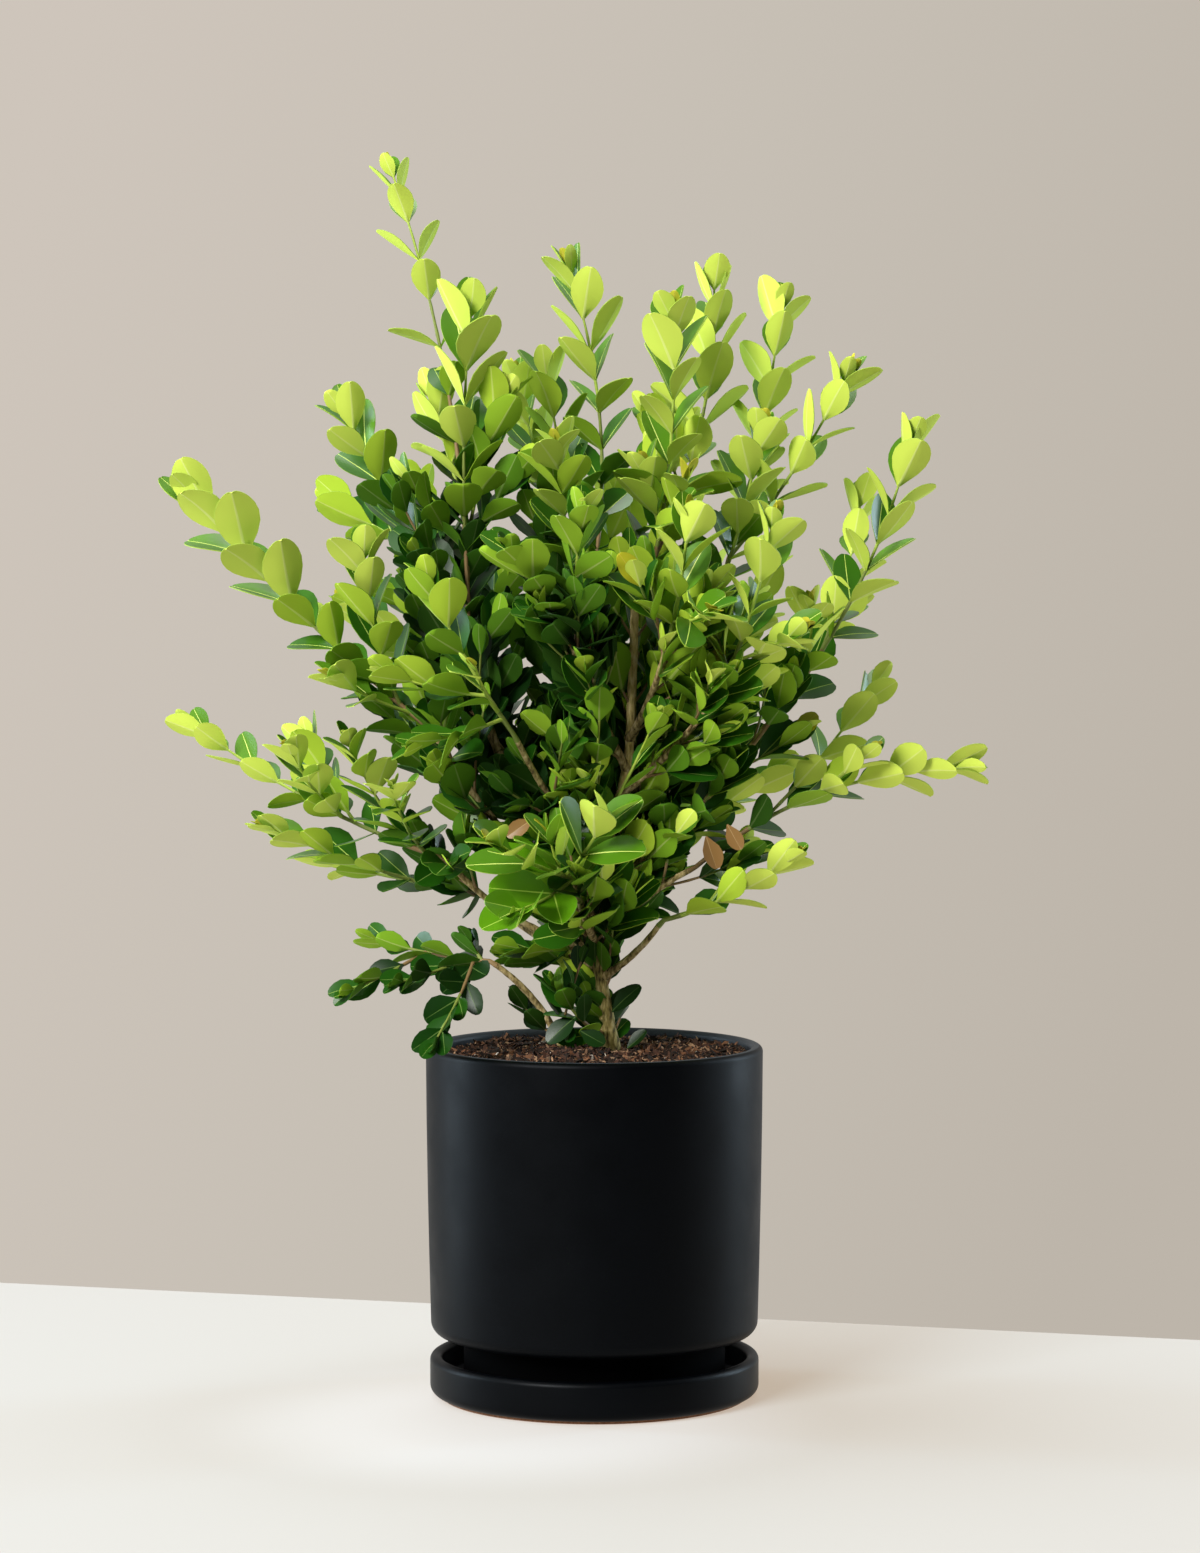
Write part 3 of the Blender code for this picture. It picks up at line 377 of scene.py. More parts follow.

# Tone of a leaf: 1 for a shoot's lime tip, 0 for the oldest leaves deep inside. Inside the crown and low down
# it is darker, partly with age and partly as painted shade.
CROWN_CENTRE = (-0.032, 0.015, 0.385)
CROWN_INVERSE = (6.5, 6.6, 5.0)  # one over the crown's half sizes
# Leaves grow lighter from DARK_WITHIN to LIGHT_BEYOND, partly with age and partly as painted shade inside the
# crown and painted light at its outside
DARK_WITHIN = 0.27
LIGHT_BEYOND = 0.98
YOUNG_REACH = 0.150  # behind a leader's tip
LEAST_TONE = 0.08
YOUNG_WEIGHT = 0.42
OUT_WEIGHT = 0.52
TONE_HEIGHT = 0.400
# Leaves are lighter higher up and darker lower down: painted light from above and painted shade below
TONE_BY_HEIGHT = (0.35, 0.9)  # per metre below and above that height
MOST_TONE = 0.97
TONE_VARIES = 0.095
SPRAY_VARIES = 0.095
BUD_TINT = 0.12
PLACED_LEAVES = {  # mass, then each leaf's tone, foot, direction, upper face's direction and length
    "right_low": [
        ("dry", (0.058, -0.062, 0.303), (0.30, -0.1, -1.0), (0.3, -1.0, 0.1), 0.018),
        ("dry", (0.069, -0.058, 0.309), (0.55, 0.0, -1.0), (-0.2, -1.0, 0.0), 0.015),
    ],
    "front_left": [("dry", (-0.032, -0.066, 0.312), (-0.8, -0.2, -0.5), (0.2, -0.8, 0.5), 0.016)],
    "foot_sprout": [
        ("old", (0.0092, 0.0045, 0.205), (0.68, -0.10, 0.73), (-0.5, -0.7, 0.5), 0.021),
        ("deep", (0.0085, 0.0060, 0.207), (0.60, 0.50, 0.60), (-0.5, -0.7, 0.5), 0.016),
        ("old", (0.0175, -0.0060, 0.1865), (0.75, 0.10, 0.60), (-0.5, -0.7, 0.5), 0.014),
        ("old", (-0.0098, -0.0080, 0.2038), (-0.75, -0.30, -0.60), (-0.3, -0.9, 0.45), 0.021),
        ("old", (-0.0076, -0.0120, 0.1966), (0.83, -0.25, -0.46), (0.1, -0.9, 0.40), 0.0155),
        ("deep", (-0.0120, -0.0060, 0.1990), (-0.20, -0.50, -0.60), (0.2, -0.9, 0.40), 0.012),
    ],
}

# Leaf shape. Lengths are shares of a leaf's length.
WIDEST_POWER = 1.20
BASE_POWER = 0.80
TIP_POWER = 0.52
PETIOLE = 0.085  # its half width there, as a share of the most
VEIN_SWEEP = 0.10
LEAF_RIB = (0.013, 0.026)  # half its width at the foot, on the upper face and the underside
RIB_TAPER = 0.7  # how much of that is gone at the tip
RIB_LIMIT = 5  # the rib's half width is at most the leaf's over this
LEAF_NOTCH = 0.012
LEAF_THICKNESS = 0.013
LEAF_THICK_AT_RIB = 0.024
LEAF_WIDTHS = (0.54, 0.67)
LEAF_FOLDS = (4, 16)  # degrees that each half turns up
LEAF_CUPS = (-0.25, 0.35)
LEAF_BENDS = (-0.16, 0.14)
BENT_FROM = 0.1
LEAF_TWISTS = (-14, 14)
LEAF_SHAPES = 10
RIB_EDGES = (-0.0, 0.0)  # two columns in the middle, each with the sign of its side
LEAF_GRIDS = {  # rows from root to tip, columns across, relief of the veins
    "near": (
        (0, 0.09, 0.22, 0.36, 0.50, 0.64, 0.77, 0.88, 0.95, 0.985),
        (-1, -0.5, *RIB_EDGES, 0.5, 1),
        0.005,
    ),
    "inner": ((0, 0.10, 0.28, 0.48, 0.68, 0.86, 0.96), (-1, *RIB_EDGES, 1), 0),
}
NEAR_TONE = 0.58  # from this tone and length a leaf has the near grid
NEAR_LENGTH = 0.020
UPPER, UNDER, RIB, RIM = range(4)  # its parts, each with its own material
PART_NAMES = ("upper", "under", "rib", "rim")

# Linear colours. Each tone: its least value, then upper face, underside and midrib
TONES = {
    "old": (-9, (0.005, 0.027, 0.003), (0.024, 0.072, 0.007), (0.070, 0.125, 0.032)),
    "deep": (0.14, (0.007, 0.046, 0.003), (0.044, 0.134, 0.010), (0.110, 0.200, 0.045)),
    "green": (0.26, (0.011, 0.068, 0.003), (0.090, 0.220, 0.012), (0.185, 0.300, 0.065)),
    "mid": (0.38, (0.016, 0.088, 0.004), (0.176, 0.348, 0.018), (0.320, 0.450, 0.095)),
    "light": (0.50, (0.022, 0.102, 0.004), (0.300, 0.500, 0.030), (0.450, 0.600, 0.120)),
    "lime": (0.62, (0.032, 0.124, 0.005), (0.460, 0.655, 0.048), (0.590, 0.740, 0.150)),
    # The tip tone is lighter partly as painted light, standing in for light shining through the young leaves
    "tip": (0.77, (0.075, 0.200, 0.008), (0.650, 0.800, 0.110), (0.740, 0.850, 0.230)),
    "bud": (1.00, (0.450, 0.430, 0.022), (0.540, 0.520, 0.040), (0.620, 0.480, 0.080)),
    "fresh": (9, (0.098, 0.262, 0.005), (0.290, 0.500, 0.050), (0.420, 0.620, 0.090)),
    "dry": (9, (0.210, 0.115, 0.036), (0.250, 0.150, 0.055), (0.330, 0.220, 0.100)),
}
RIM_SHARE = 0.4  # how far the rim's colour is from the upper face's to the underside's
LEAF_GLOSS = {  # roughness and specular level
    UPPER: (0.32, 0.24),
    UNDER: (0.62, 0.07),
    RIB: (0.50, 0.12),
    RIM: (0.50, 0.12),
}
TWIGS = {  # distance behind the shoot's tip from which it has this wood, and its colour
    "tip": (0, (0.440, 0.560, 0.060)),
    "young": (0.020, (0.340, 0.460, 0.055)),
    "green": (0.070, (0.190, 0.240, 0.040)),
    "brown": (0.125, (0.240, 0.150, 0.060)),
}
TWIG_ROUGHNESS = 0.6
NOISE_RANGE = (0.3, 0.7)  # in which nearly all of a noise lies
GLAZE = (0.0001, 0.0003, 0.0007)
GLAZE_LIGHTER = 1.35  # its lightest mottling, as a share of its colour
POT_ROUGHNESS = (0.40, 0.50)
SAUCER_ROUGHNESS = (0.38, 0.46)
GLAZE_SPECULAR = 0.078
GLAZE_TINT = (0.88, 0.94, 1.0)
# A lighter copy of the glaze on the lip and the inner wall: painted light from above
INSIDE_PAINTED_LIGHT_GLAZE = (0.0290, 0.0335, 0.0400)  # the lip and the inner wall, which catch the light from above
INSIDE_FROM = 0.0022  # in from the pot's outside
# Black and dull under the pot, where it stands in the saucer: painted shade
PAINTED_SHADE_FOOT_GLAZE = ((0.0001, 0.0001, 0.0002), 0.8, 0.02)  # colour, roughness, specular level
GLAZE_MOTTLE = 45
GLAZE_GRAIN = 1400
GLAZE_GRAIN_DEPTH = 0.00004
CLAY_STOPS = [(0.3, (0.160, 0.070, 0.035)), (0.7, (0.300, 0.150, 0.080))]
TRUNK_STOPS = [
    (0.33, (0.055, 0.040, 0.014)),
    (0.43, (0.200, 0.158, 0.045)),
    (0.55, (0.380, 0.300, 0.100)),
    (0.68, (0.560, 0.450, 0.210)),
]
# Lighter high up: partly the younger wood's own paler colour, partly painted light against the crown's shade
HIGH_TRUNK_STOPS = [  # the younger wood above
    (0.30, (0.380, 0.265, 0.080)),
    (0.42, (0.640, 0.480, 0.170)),
    (0.55, (0.800, 0.620, 0.260)),
    (0.68, (0.900, 0.750, 0.400)),
]
HIGH_TRUNK = {"From Min": 0.230, "From Max": 0.300}  # the heights where it starts and is complete
BOUGH_STOPS = [
    (0.32, (0.060, 0.040, 0.016)),
    (0.42, (0.200, 0.145, 0.050)),
    (0.55, (0.440, 0.330, 0.140)),
    (0.68, (0.620, 0.500, 0.270)),
]
SOIL_STOPS = [(0.35, (0.010, 0.005, 0.003)), (0.55, (0.045, 0.020, 0.012)), (0.7, (0.100, 0.045, 0.025))]
# Grained materials: colours, noise scale, its share along Z, roughness, depth of the relief
CLAY = (CLAY_STOPS, 900, 1, 0.85, 0.0001)
SOIL = (SOIL_STOPS, 700, 1, 0.95, 0.0006)
TRUNK_BARK = (TRUNK_STOPS, 620, 0.30, 0.85, 0.0006, HIGH_TRUNK_STOPS)
BOUGH_BARK = (BOUGH_STOPS, 480, 0.35, 0.8, 0.0004)
GRAIN_SPECULAR = 0.3
CRUMBS = {  # how many in a hundred, and colour
    "dark": (45, (0.016, 0.009, 0.006)),
    "brown": (31, (0.062, 0.028, 0.017)),
    "orange": (14, (0.170, 0.074, 0.036)),
    "straw": (9, (0.330, 0.190, 0.110)),
    "pale": (1, (0.560, 0.500, 0.430)),
}
CRUMB_GLOSS = (0.9, 0.25)  # roughness, specular level
CRUMB_COUNT = 5600
CRUMB_SHAPES = 12
CRUMB_LENGTH = (0.0020, 0.0046)
CRUMB_STRETCHES = (1, 1, 1.5, 2)  # of that, one as likely as the next
CRUMB_THICKNESS = (0.22, 0.5)  # of its length
CRUMB_FLATNESS = (0.5, 1)  # its height, as a share of its thickness
CRUMB_TILT = 0.45
CRUMB_LIFT = 0.0003
CHIP_RINGS = ((-0.5, 0.35), (0.05, 0.5), (0.5, 0.22))  # place along a crumb of unit length, and half width
CHIP_SIDES = 3
CHIP_TURNS = 0.4  # how unevenly its corners stand, round it and along it
CHIP_SHIFTS = 0.08
CHIP_WIDTHS = (0.6, 1.2)
SOIL_RADIUS = POT_RADIUS - POT_WALL - 2 * CLEARANCE
SOIL_RINGS = 40
SOIL_STEPS = 120
SOIL_HEAP = 0.0036
SOIL_HEAP_SCALE = 28
SOIL_LUMP = 0.0008
SOIL_LUMP_SCALE = 260
HEAP_PLANE = 0.3  # the planes through the noise that make the heaps and the lumps
LUMP_PLANE = 1.7
TURNED_STEPS = 192
CRISP = 0.001  # a last narrow ring on a flat face, so that its edge stays crisp

# Bark relief
BARK_SIDES = 16
BARK_STEP = 0.0014
BARK_AROUND = 1.9  # noise cells
BARK_ALONG = 130  # per metre
LIMBS_APART = 17.3  # in noise cells, so that no two limbs are alike
RIDGES = (0.25, 1.6)  # the level between ridges and fissures in their noise, and how much they count
FLAKES = (2.3, Vector((5, 9, 2)), 0.35)  # their noise's scale and shift, and how much they count
BURIED = 0.004  # how far a limb that stands on the soil goes down into it
TRUNK_RELIEF = 0.15  # of the radius
BOUGH_RELIEF = 0.13
COLLAR = 0.45  # how much thicker a bough is where it leaves its parent
COLLAR_LENGTH = 0.004
STUB = ("right_low_bough", 0.62, (0.15, -0.5, 1.0), 0.007, 0.0021)  # bough, share, direction, length, radius
CUT_WOOD = ((0.560, 0.470, 0.310), 0.7)  # colour, roughness
SHARP_ANGLE = math.radians(60)  # from which an edge is shaded as one
TWIG_SIDES = 6
TWIG_STEP = 0.005
NODE_SWELL = 0.22
NODE_EVERY = 0.013

# Stage
CAMERA_PLACE = (0.003, -2.177, 0.429)
CAMERA_PITCH = 2.57  # degrees down
CAMERA_LENS = 94.8
TABLE_FAR_EDGE = ((-0.376, 0.356), (0.350, 0.158))
TABLE_BEYOND = 0.55
TABLE_DEPTH = 1.10
TABLE_THICKNESS = 0.03
TABLE_EDGE = 0.002
TABLE_GLOSS = (0.65, 0.2)  # roughness, specular level
TABLE_COLOUR = (0.204, 0.259, 0.297)
# The table's emission is painted light: it fills the shadows on the table, and more so in a pool in front of
# the saucer
TABLE_GLOW = (0.420, 0.300, 0.190)  # fills its shadows, as light off the room would
FRONT_GLOW = (0.570, 0.475, 0.395)  # the same in front of the saucer
FRONT_PLACE = (-0.045, -0.078, 0)
FRONT_REACH = {"From Min": 0.07, "From Max": 0.18}  # how far round that place it holds, and where it ends
BACKDROP_STOPS = [(0, (0.617, 0.558, 0.497)), (0.5, (0.566, 0.520, 0.458)), (1, (0.509, 0.462, 0.402))]
BACKDROP_RISE = 0.35
BACKDROP_SPAN = {"From Min": -0.17, "From Max": 0.17}
AMBIENT_COLOUR = (1.0, 0.97, 0.93)
AMBIENT_RANGE = {"From Min": -0.9, "From Max": 0.3, "To Min": 0.12, "To Max": 0.57}  # by the Y it comes from
LIGHT_TARGET = (0, 0, 0.38)
LIGHTS = (  # name, place, size, power, colour
    ("key", (-2.1, -2.85, 2.36), (1.7, 1.7), 246, (1.0, 0.985, 0.955)),
    ("top", (-0.3, 0.3, 2.2), (1.2, 1.0), 34, (1.0, 0.99, 0.96)),
    ("right", (1.75, 0.8, 0.6), (0.4, 1.2), 24, (0.68, 0.86, 1.0)),
    ("left", (-1.8, 0.5, 0.5), (0.4, 1.2), 26, (0.70, 0.87, 1.0)),
)


# ---- paths, as in the source ----


def bowed_path(start, tip, bow, count):
    """Points on an arc from start to tip. A positive bow sets out sideways and then turns up."""
    start = Vector(start)
    tip = Vector(tip)
    chord = tip - start
    outward = Vector((tip.x, tip.y, 0)).normalized()
    bend = outward - UP
    bend -= bend.project(chord)
    control = (start + tip) / 2 + bend.normalized() * bow * chord.length
    shares = [i / (count - 1) for i in range(count)]
    return [start * (1 - s) ** 2 + control * 2 * s * (1 - s) + tip * s * s for s in shares]


def smooth_path(bends, steps):
    """A Catmull-Rom curve through the bends."""
    bends = [Vector(bend) for bend in bends]
    padded = [2 * bends[0] - bends[1], *bends, 2 * bends[-1] - bends[-2]]
    path = []
    for before, start, end, after in zip(padded, padded[1:], padded[2:], padded[3:]):
        for i in range(steps):
            s = i / steps
            pull = 3 * (start - end) + after - before
            lean = 2 * before - 5 * start + 4 * end - after
            path.append(start + 0.5 * (s * (end - before) + s * s * lean + s ** 3 * pull))
    return [*path, bends[-1]]


def lengths_along(path):
    """How far along the path each of its points is."""
    total = [0.0]
    for a, b in zip(path, path[1:]):
        total.append(total[-1] + (b - a).length)
    return total


def place_on(path, distance):
    """The point and direction at a distance along the path."""
    total = lengths_along(path)
    for i in range(1, len(path)):
        if distance <= total[i] or i == len(path) - 1:
            share = (distance - total[i - 1]) / (total[i] - total[i - 1])
            return path[i - 1].lerp(path[i], share), (path[i] - path[i - 1]).normalized()


def place_at_height(path, radii, height):
    """The point of a rising limb's centre line at a height, and the limb's radius there."""
    for a, b, start, end in zip(path, path[1:], radii, radii[1:]):
        if b.z >= height:
            share = (height - a.z) / (b.z - a.z)
            return a.lerp(b, share), start + (end - start) * share


def spaced(path, step):
    """Points every step along the path."""
    length = lengths_along(path)[-1]
    count = max(2, math.ceil(length / step) + 1)
    return [place_on(path, length * i / (count - 1))[0] for i in range(count)]


def tapering(count, start, end):
    return [start + (end - start) * i / (count - 1) for i in range(count)]


def share_between(low, high, value):
    """How far the value is from low to high, kept from 0 to 1."""
    return min(1.0, max(0.0, (value - low) / (high - low)))


# ---- limbs and leaders, as in the source ----


def trunk_radii(path):
    height = path[-1].z - path[0].z
    radii = []
    for point in path:
        rise = point.z - path[0].z
        flare = FLARE * math.exp(-rise / FLARE_HEIGHT)
        radii.append(TRUNK_RADIUS + (TRUNK_TIP_RADIUS - TRUNK_RADIUS) * rise / height + flare)
    return radii


def make_limbs():
    """Each limb's path and radii, by name, parents first."""
    path = smooth_path(TRUNK_BENDS, FINE_TRUNK_STEPS)
    limbs = {"trunk": (path, trunk_radii(path))}
    radii = tapering(FINE_LIMB_POINTS, BOUGH_RADIUS, BOUGH_TIP_RADIUS)
    for name, (parent, height, tip, bow) in BOUGHS.items():
        start, _ = place_at_height(*limbs[parent], height)
        limbs[name] = (bowed_path(start, tip, bow, FINE_LIMB_POINTS), radii)
    limbs[DROOP_BOUGH] = (bowed_path(DROOP_FOOT, DROOP_TIP, DROOP_BOW, FINE_LIMB_POINTS), radii)
    return limbs


def leader_paths(mass, limbs):
    """The paths of a mass's leaders. The stem sets out from its limb, and the others from the stem."""
    path, radii = limbs[mass.limb]
    stem = mass.leaders[0]
    if mass.height is None:
        start = path[-1]
        lead = (path[-1] - path[-2]).normalized() * STEM_LEAD
    else:
        start, radius = place_at_height(path, radii, mass.height)
        away = Vector(stem.tip) - start
        lead = Vector((away.x, away.y, 0)).normalized() * (radius + STEM_LEAD)
    first = [start, *bowed_path(start + lead, stem.tip, stem.bow, FINE_LEADER_POINTS)]
    paths = [first]
    for leader in mass.leaders[1:]:
        foot, _ = place_on(first, leader.share * lengths_along(first)[-1])
        paths.append(bowed_path(foot, leader.tip, leader.bow, FINE_LEADER_POINTS))
    return paths


# ---- where twigs and leaves may grow ----


def tree_of(points):
    tree = KDTree(len(points))
    for i, point in enumerate(points):
        tree.insert(point, i)
    tree.balance()
    return tree


class Borders:
    """Tells which mass a point may belong to."""

    def __init__(self, paths):
        samples = {
            name: [point for path in own for point in spaced(path, PATH_STEP)]
            for name, own in paths.items()
        }
        self.own = {name: tree_of(points) for name, points in samples.items()}
        self.others = {
            name: tree_of([point for other in samples if other != name for point in samples[other]])
            for name in samples
        }

    def near_home(self, name, point):
        """Whether the point is in this mass's cell, or only a little over its border."""
        _, _, own = self.own[name].find(point)
        _, _, other = self.others[name].find(point)
        return own < other + BORROWED


def trunk_at(height):
    """The trunk's centre line at a height, straight between its bends."""
    xs, ys, heights = zip(*TRUNK_BENDS)
    return Vector((np.interp(height, heights, xs), np.interp(height, heights, ys), height))


def in_window(point):
    """Whether the point is where the crown is open at the front, and shows the trunk or its dark inside."""
    middle = trunk_at(point.z)
    before = point.y < middle.y - OPEN_BEFORE and abs(point.x - middle.x) < OPEN_HALF_WIDTH
    if before and any(low < point.z < high for low, high in OPEN_HEIGHTS):
        return True
    return any(
        point.y < back and math.hypot((point.x - x) / half_x, (point.z - z) / half_z) < 1
        for x, z, half_x, half_z, back in HOLLOWS
    )


def is_free(point):
    """Whether the point is clear of the pot and the soil, and not in a window."""
    radius = math.hypot(point.x, point.y)
    in_wall = radius > POT_RADIUS - POT_WALL - LEAF_CLEAR
    ground = POT_TOP if in_wall else SOIL_TOP + SOIL_MOUND
    clear = radius > POT_RADIUS + LEAF_CLEAR or point.z > ground + LEAF_CLEAR
    return clear and not in_window(point)


# ---- growth: the source's rule, with closer pairs and one more order of twigs ----


def square_to(vector, axis):
    """The vector's part at right angles to the axis."""
    return vector - vector.project(axis)


def leaf_matrix(root, axis, face, length, roll=0.0):
    """A leaf's matrix: its length is +Z, its width X, and its upper face looks to +Y."""
    turned = Matrix((face.cross(axis), face, axis)).transposed() @ Matrix.Rotation(roll, 3, "Z")
    return Matrix.Translation(root) @ turned.to_4x4() @ Matrix.Diagonal((*[length] * 3, 1))


def leaf_pose(root, along, side, spread, length, pull, opened, rng):
    """The matrix of a leaf on a twig: its face looks up the twig, and turns to the light."""
    axis = (along * math.cos(spread) + side * math.sin(spread)).normalized()
    face = along * math.sin(spread) - side * math.cos(spread)
    level = along.cross(UP).length
    face += square_to(UP, axis) * LIGHT_PULL * level
    face = square_to(face, axis).normalized()
    face += (square_to(GROWN_TOWARDS, axis) - GROWN_TOWARDS.project(face)) * pull
    face += square_to(OPEN_SIDE, axis) * opened
    return leaf_matrix(root, axis, face.normalized(), length, rng.gauss(0, LEAF_ROLL))


def pair_side(along, root, turn):
    """The direction in which a pair's first leaf stands off. On a nearly level shoot it is nearly level."""
    outward = Vector((root.x, root.y, 0.001))
    side = Matrix.Rotation(turn, 3, along) @ square_to(outward, along).normalized()
    level = along.cross(UP)
    if level.length > LEVEL_FROM:
        side += LEVEL_PULL * level.normalized() * math.copysign(1, side.dot(level))
        side = square_to(side, along)
    return side.normalized()


def side_route(root, along, side, rise, reach):
    """The path of a side shoot."""
    aim = along * math.cos(SIDE_SHOOT_ANGLE) + side * math.sin(SIDE_SHOOT_ANGLE) + rise * UP
    return bowed_path(root, root + aim.normalized() * reach, SIDE_SHOOT_BOW, FINE_SIDE_POINTS)


def trimmed(path, cut):
    """The path, cut short at its tip, or sent straight on where the cut is negative."""
    length = lengths_along(path)[-1] - cut
    tip, _ = place_on(path, length)
    kept = [point for point, distance in zip(path, lengths_along(path)) if distance < length - FIRST_PAIR]
    return [*kept, tip]


def youth(behind):
    """1 at a leader's tip, 0 where its leaves are old."""
    return max(0.0, 1 - behind / YOUNG_REACH)


def crown_depth(point):
    """0 in the crown's middle, about 1 at its outside."""
    x, y, z = (point - Vector(CROWN_CENTRE)) * Vector(CROWN_INVERSE)
    return math.sqrt(x * x + y * y + z * z)


def tone_of(root, behind, tint, rng):
    """The tone of a leaf that is this far behind its leader's tip. It is lighter at the crown's outside and
    high up, partly as painted light and shade.
    """
    out = share_between(DARK_WITHIN, LIGHT_BEYOND, crown_depth(root))
    above = root.z - TONE_HEIGHT
    height = above * TONE_BY_HEIGHT[above > 0]
    tone = LEAST_TONE + YOUNG_WEIGHT * youth(behind) + OUT_WEIGHT * out + height + tint
    return min(MOST_TONE, tone + rng.gauss(0, TONE_VARIES))


class Growth:
    """The twigs and leaves of one mass."""

    def __init__(self, name, borders, rng):
        self.name = name
        self.mass = MASSES[name]
        self.borders = borders
        self.rng = rng
        self.kind = self.mass.kind
        self.twigs = []
        self.leaves = []

    def pair(self, root, along, side, spread, size, behind, tint, bud=0):
        """A pair of leaves, without those that would stand where none may."""
        least, most = TOWARDS_PULLS
        pull = least + (most - least) * youth(behind)
        pull *= self.rng.uniform(*PULL_VARIES) * (not self.mass.upright)
        older = share_between(OPEN_FROM, 1, behind / YOUNG_REACH)
        opened = self.mass.opened * older
        # painted shade, on top of age, on the mass's older leaves
        tint -= self.mass.shade * older
        for away in (side, -side):
            length = size * self.rng.uniform(*LEAF_SIZES)
            angle = spread * self.rng.uniform(*ANGLE_VARIES)
            matrix = leaf_pose(root, along, away, angle, length, pull, opened, self.rng)
            if all(is_free(matrix @ Vector((0, 0, share))) for share in CHECKED_AT):
                tone = tone_of(root, behind, tint, self.rng) + bud
                self.leaves.append((matrix, length, tone, self.kind))

    def shoot(self, path, foot_radius, size, behind, order, habit=(1, 1, 0)):
        """Grows one shoot whose tip is this far behind its leader's, with its side shoots."""
        rng = self.rng
        length = lengths_along(path)[-1]
        self.twigs.append((path, tapering(len(path), foot_radius, TIP_RADIUS), behind + self.mass.wood))
        tint = self.mass.tint + rng.gauss(0, SPRAY_VARIES)
        turn = rng.gauss(0, TURN_VARIES)
        leaf, wider, habit_length = habit
        distance = length
        ends = OLD_END_LEAVES if behind > OLD_FROM else END_LEAVES
        for share in ends:
            root, along = place_on(path, distance)
            side = pair_side(along, root, turn)
            last = share == ends[0]
            spread = BUD_SPREAD if last else YOUNG_SPREAD
            small = size * share * leaf
            self.pair(root, along, side, spread, small, behind + length - distance, tint, BUD_TINT * last)
            distance -= small * wider * INTERNODE * INTERNODE_AT_TIP * rng.uniform(*SPACING_VARIES)
            turn += math.pi / 2 + rng.gauss(0, TURN_VARIES / 2)
        pair = 0
        while distance > max(FIRST_PAIR, BARE_FOOT * length):
            root, along = place_on(path, distance)
            back = length - distance
            if back > habit_length:
                leaf = wider = 1
            age = min(1.0, (back + behind) / YOUNG_LENGTH)
            side = pair_side(along, root, turn)
            spread = YOUNG_SPREAD + (OLD_SPREAD - YOUNG_SPREAD) * age
            if back > habit_length and self.branches(order, back / size, pair):
                self.branch(root, along, side, size, behind, back, order)
            self.pair(root, along, side, spread, size * leaf, behind + back, tint)
            spacing = INTERNODE * size * leaf * wider * (INTERNODE_AT_TIP + (1 - INTERNODE_AT_TIP) * age)
            distance -= spacing * rng.uniform(*SPACING_VARIES)
            turn += math.pi / 2 + rng.gauss(0, TURN_VARIES / 2)
            pair += 1

    def branches(self, order, back, pair):
        """Whether a shoot bears side shoots at this pair, so many leaf lengths behind its tip."""
        if order >= len(SIDE_SHOOT_EVERY):
            return False
        return back > BARE_TIPS[order] * self.mass.bare and pair % SIDE_SHOOT_EVERY[order] == 1

    def branch(self, root, along, side, size, behind, room, order):
        """Side shoots in the two leaves' axils, where there is space."""
        for away in (side, -side):
            reach = SIDE_SHOOT_SHARE[order] * room * self.rng.uniform(*ANGLE_VARIES)
            reach = min(LONGEST_SIDE_SHOOT, reach)
            if reach < SHORTEST_SIDE_SHOOT:
                continue
            route = side_route(root, along, away, SIDE_SHOOT_RISE, reach)
            if all(self.borders.near_home(self.name, point) and is_free(point) for point in route[2:]):
                older = max(0, room - (route[-1] - root).length)
                self.shoot(route, TWIG_RADIUS[order + 1], size * SIDE_SHOOT_LEAF, behind + older, order + 1)

    def sprays(self, path, start, end, every, lengths, size):
        """Short leafy shoots of old wood straight off a limb, from one distance along it to another."""
        self.kind = ""
        distance = start
        turn = self.rng.uniform(0, math.pi)
        while distance < end:
            root, along = place_on(path, distance)
            side = Matrix.Rotation(turn, 3, along) @ along.orthogonal().normalized()
            for away in (side, -side):
                route = side_route(root, along, away, SPRAY_RISE, self.rng.uniform(*lengths))
                if all(is_free(point) for point in route[2:]):
                    self.shoot(route, TWIG_RADIUS[1], size, SPRAY_BEHIND, len(SIDE_SHOOT_EVERY))
            distance += every * self.rng.uniform(*SPACING_VARIES)
            turn += math.pi / 2 + self.rng.gauss(0, TURN_VARIES)


def grow_crown(limbs):
    """The growth of every mass, by name."""
    paths = {name: leader_paths(mass, limbs) for name, mass in MASSES.items()}
    borders = Borders(paths)
    grown = {}
    for i, (name, mass) in enumerate(MASSES.items()):
        growth = Growth(name, borders, random.Random(SEED + i))
        for leader, path in zip(mass.leaders, paths[name]):
            radius = STEM_RADIUS if leader is mass.leaders[0] else TWIG_RADIUS[0]
            habit = (leader.leaf, leader.spacing, leader.reach)
            growth.shoot(trimmed(path, leader.trim), radius, mass.leaf, leader.age, 0, habit)
        if mass.height is None:
            limb, _ = limbs[mass.limb]
            length = lengths_along(limb)[-1]
            every = SPRAY_EVERY / SPRAY_DENSITY.get(mass.limb, 1)
            growth.sprays(limb, SPRAY_FROM * length, length, every, SPRAY_LENGTHS, mass.leaf * SPRAY_LEAF)
        grown[name] = growth
    grown["foot_sprout"].sprays(limbs["trunk"][0], *FOOT_SPRAYS)
    for name, rows in PLACED_LEAVES.items():
        for tone, foot, along, face, length in rows:
            axis = Vector(along).normalized()
            matrix = leaf_matrix(foot, axis, square_to(Vector(face), axis).normalized(), length)
            grown[name].leaves.append((matrix, length, 0, tone))
    return grown


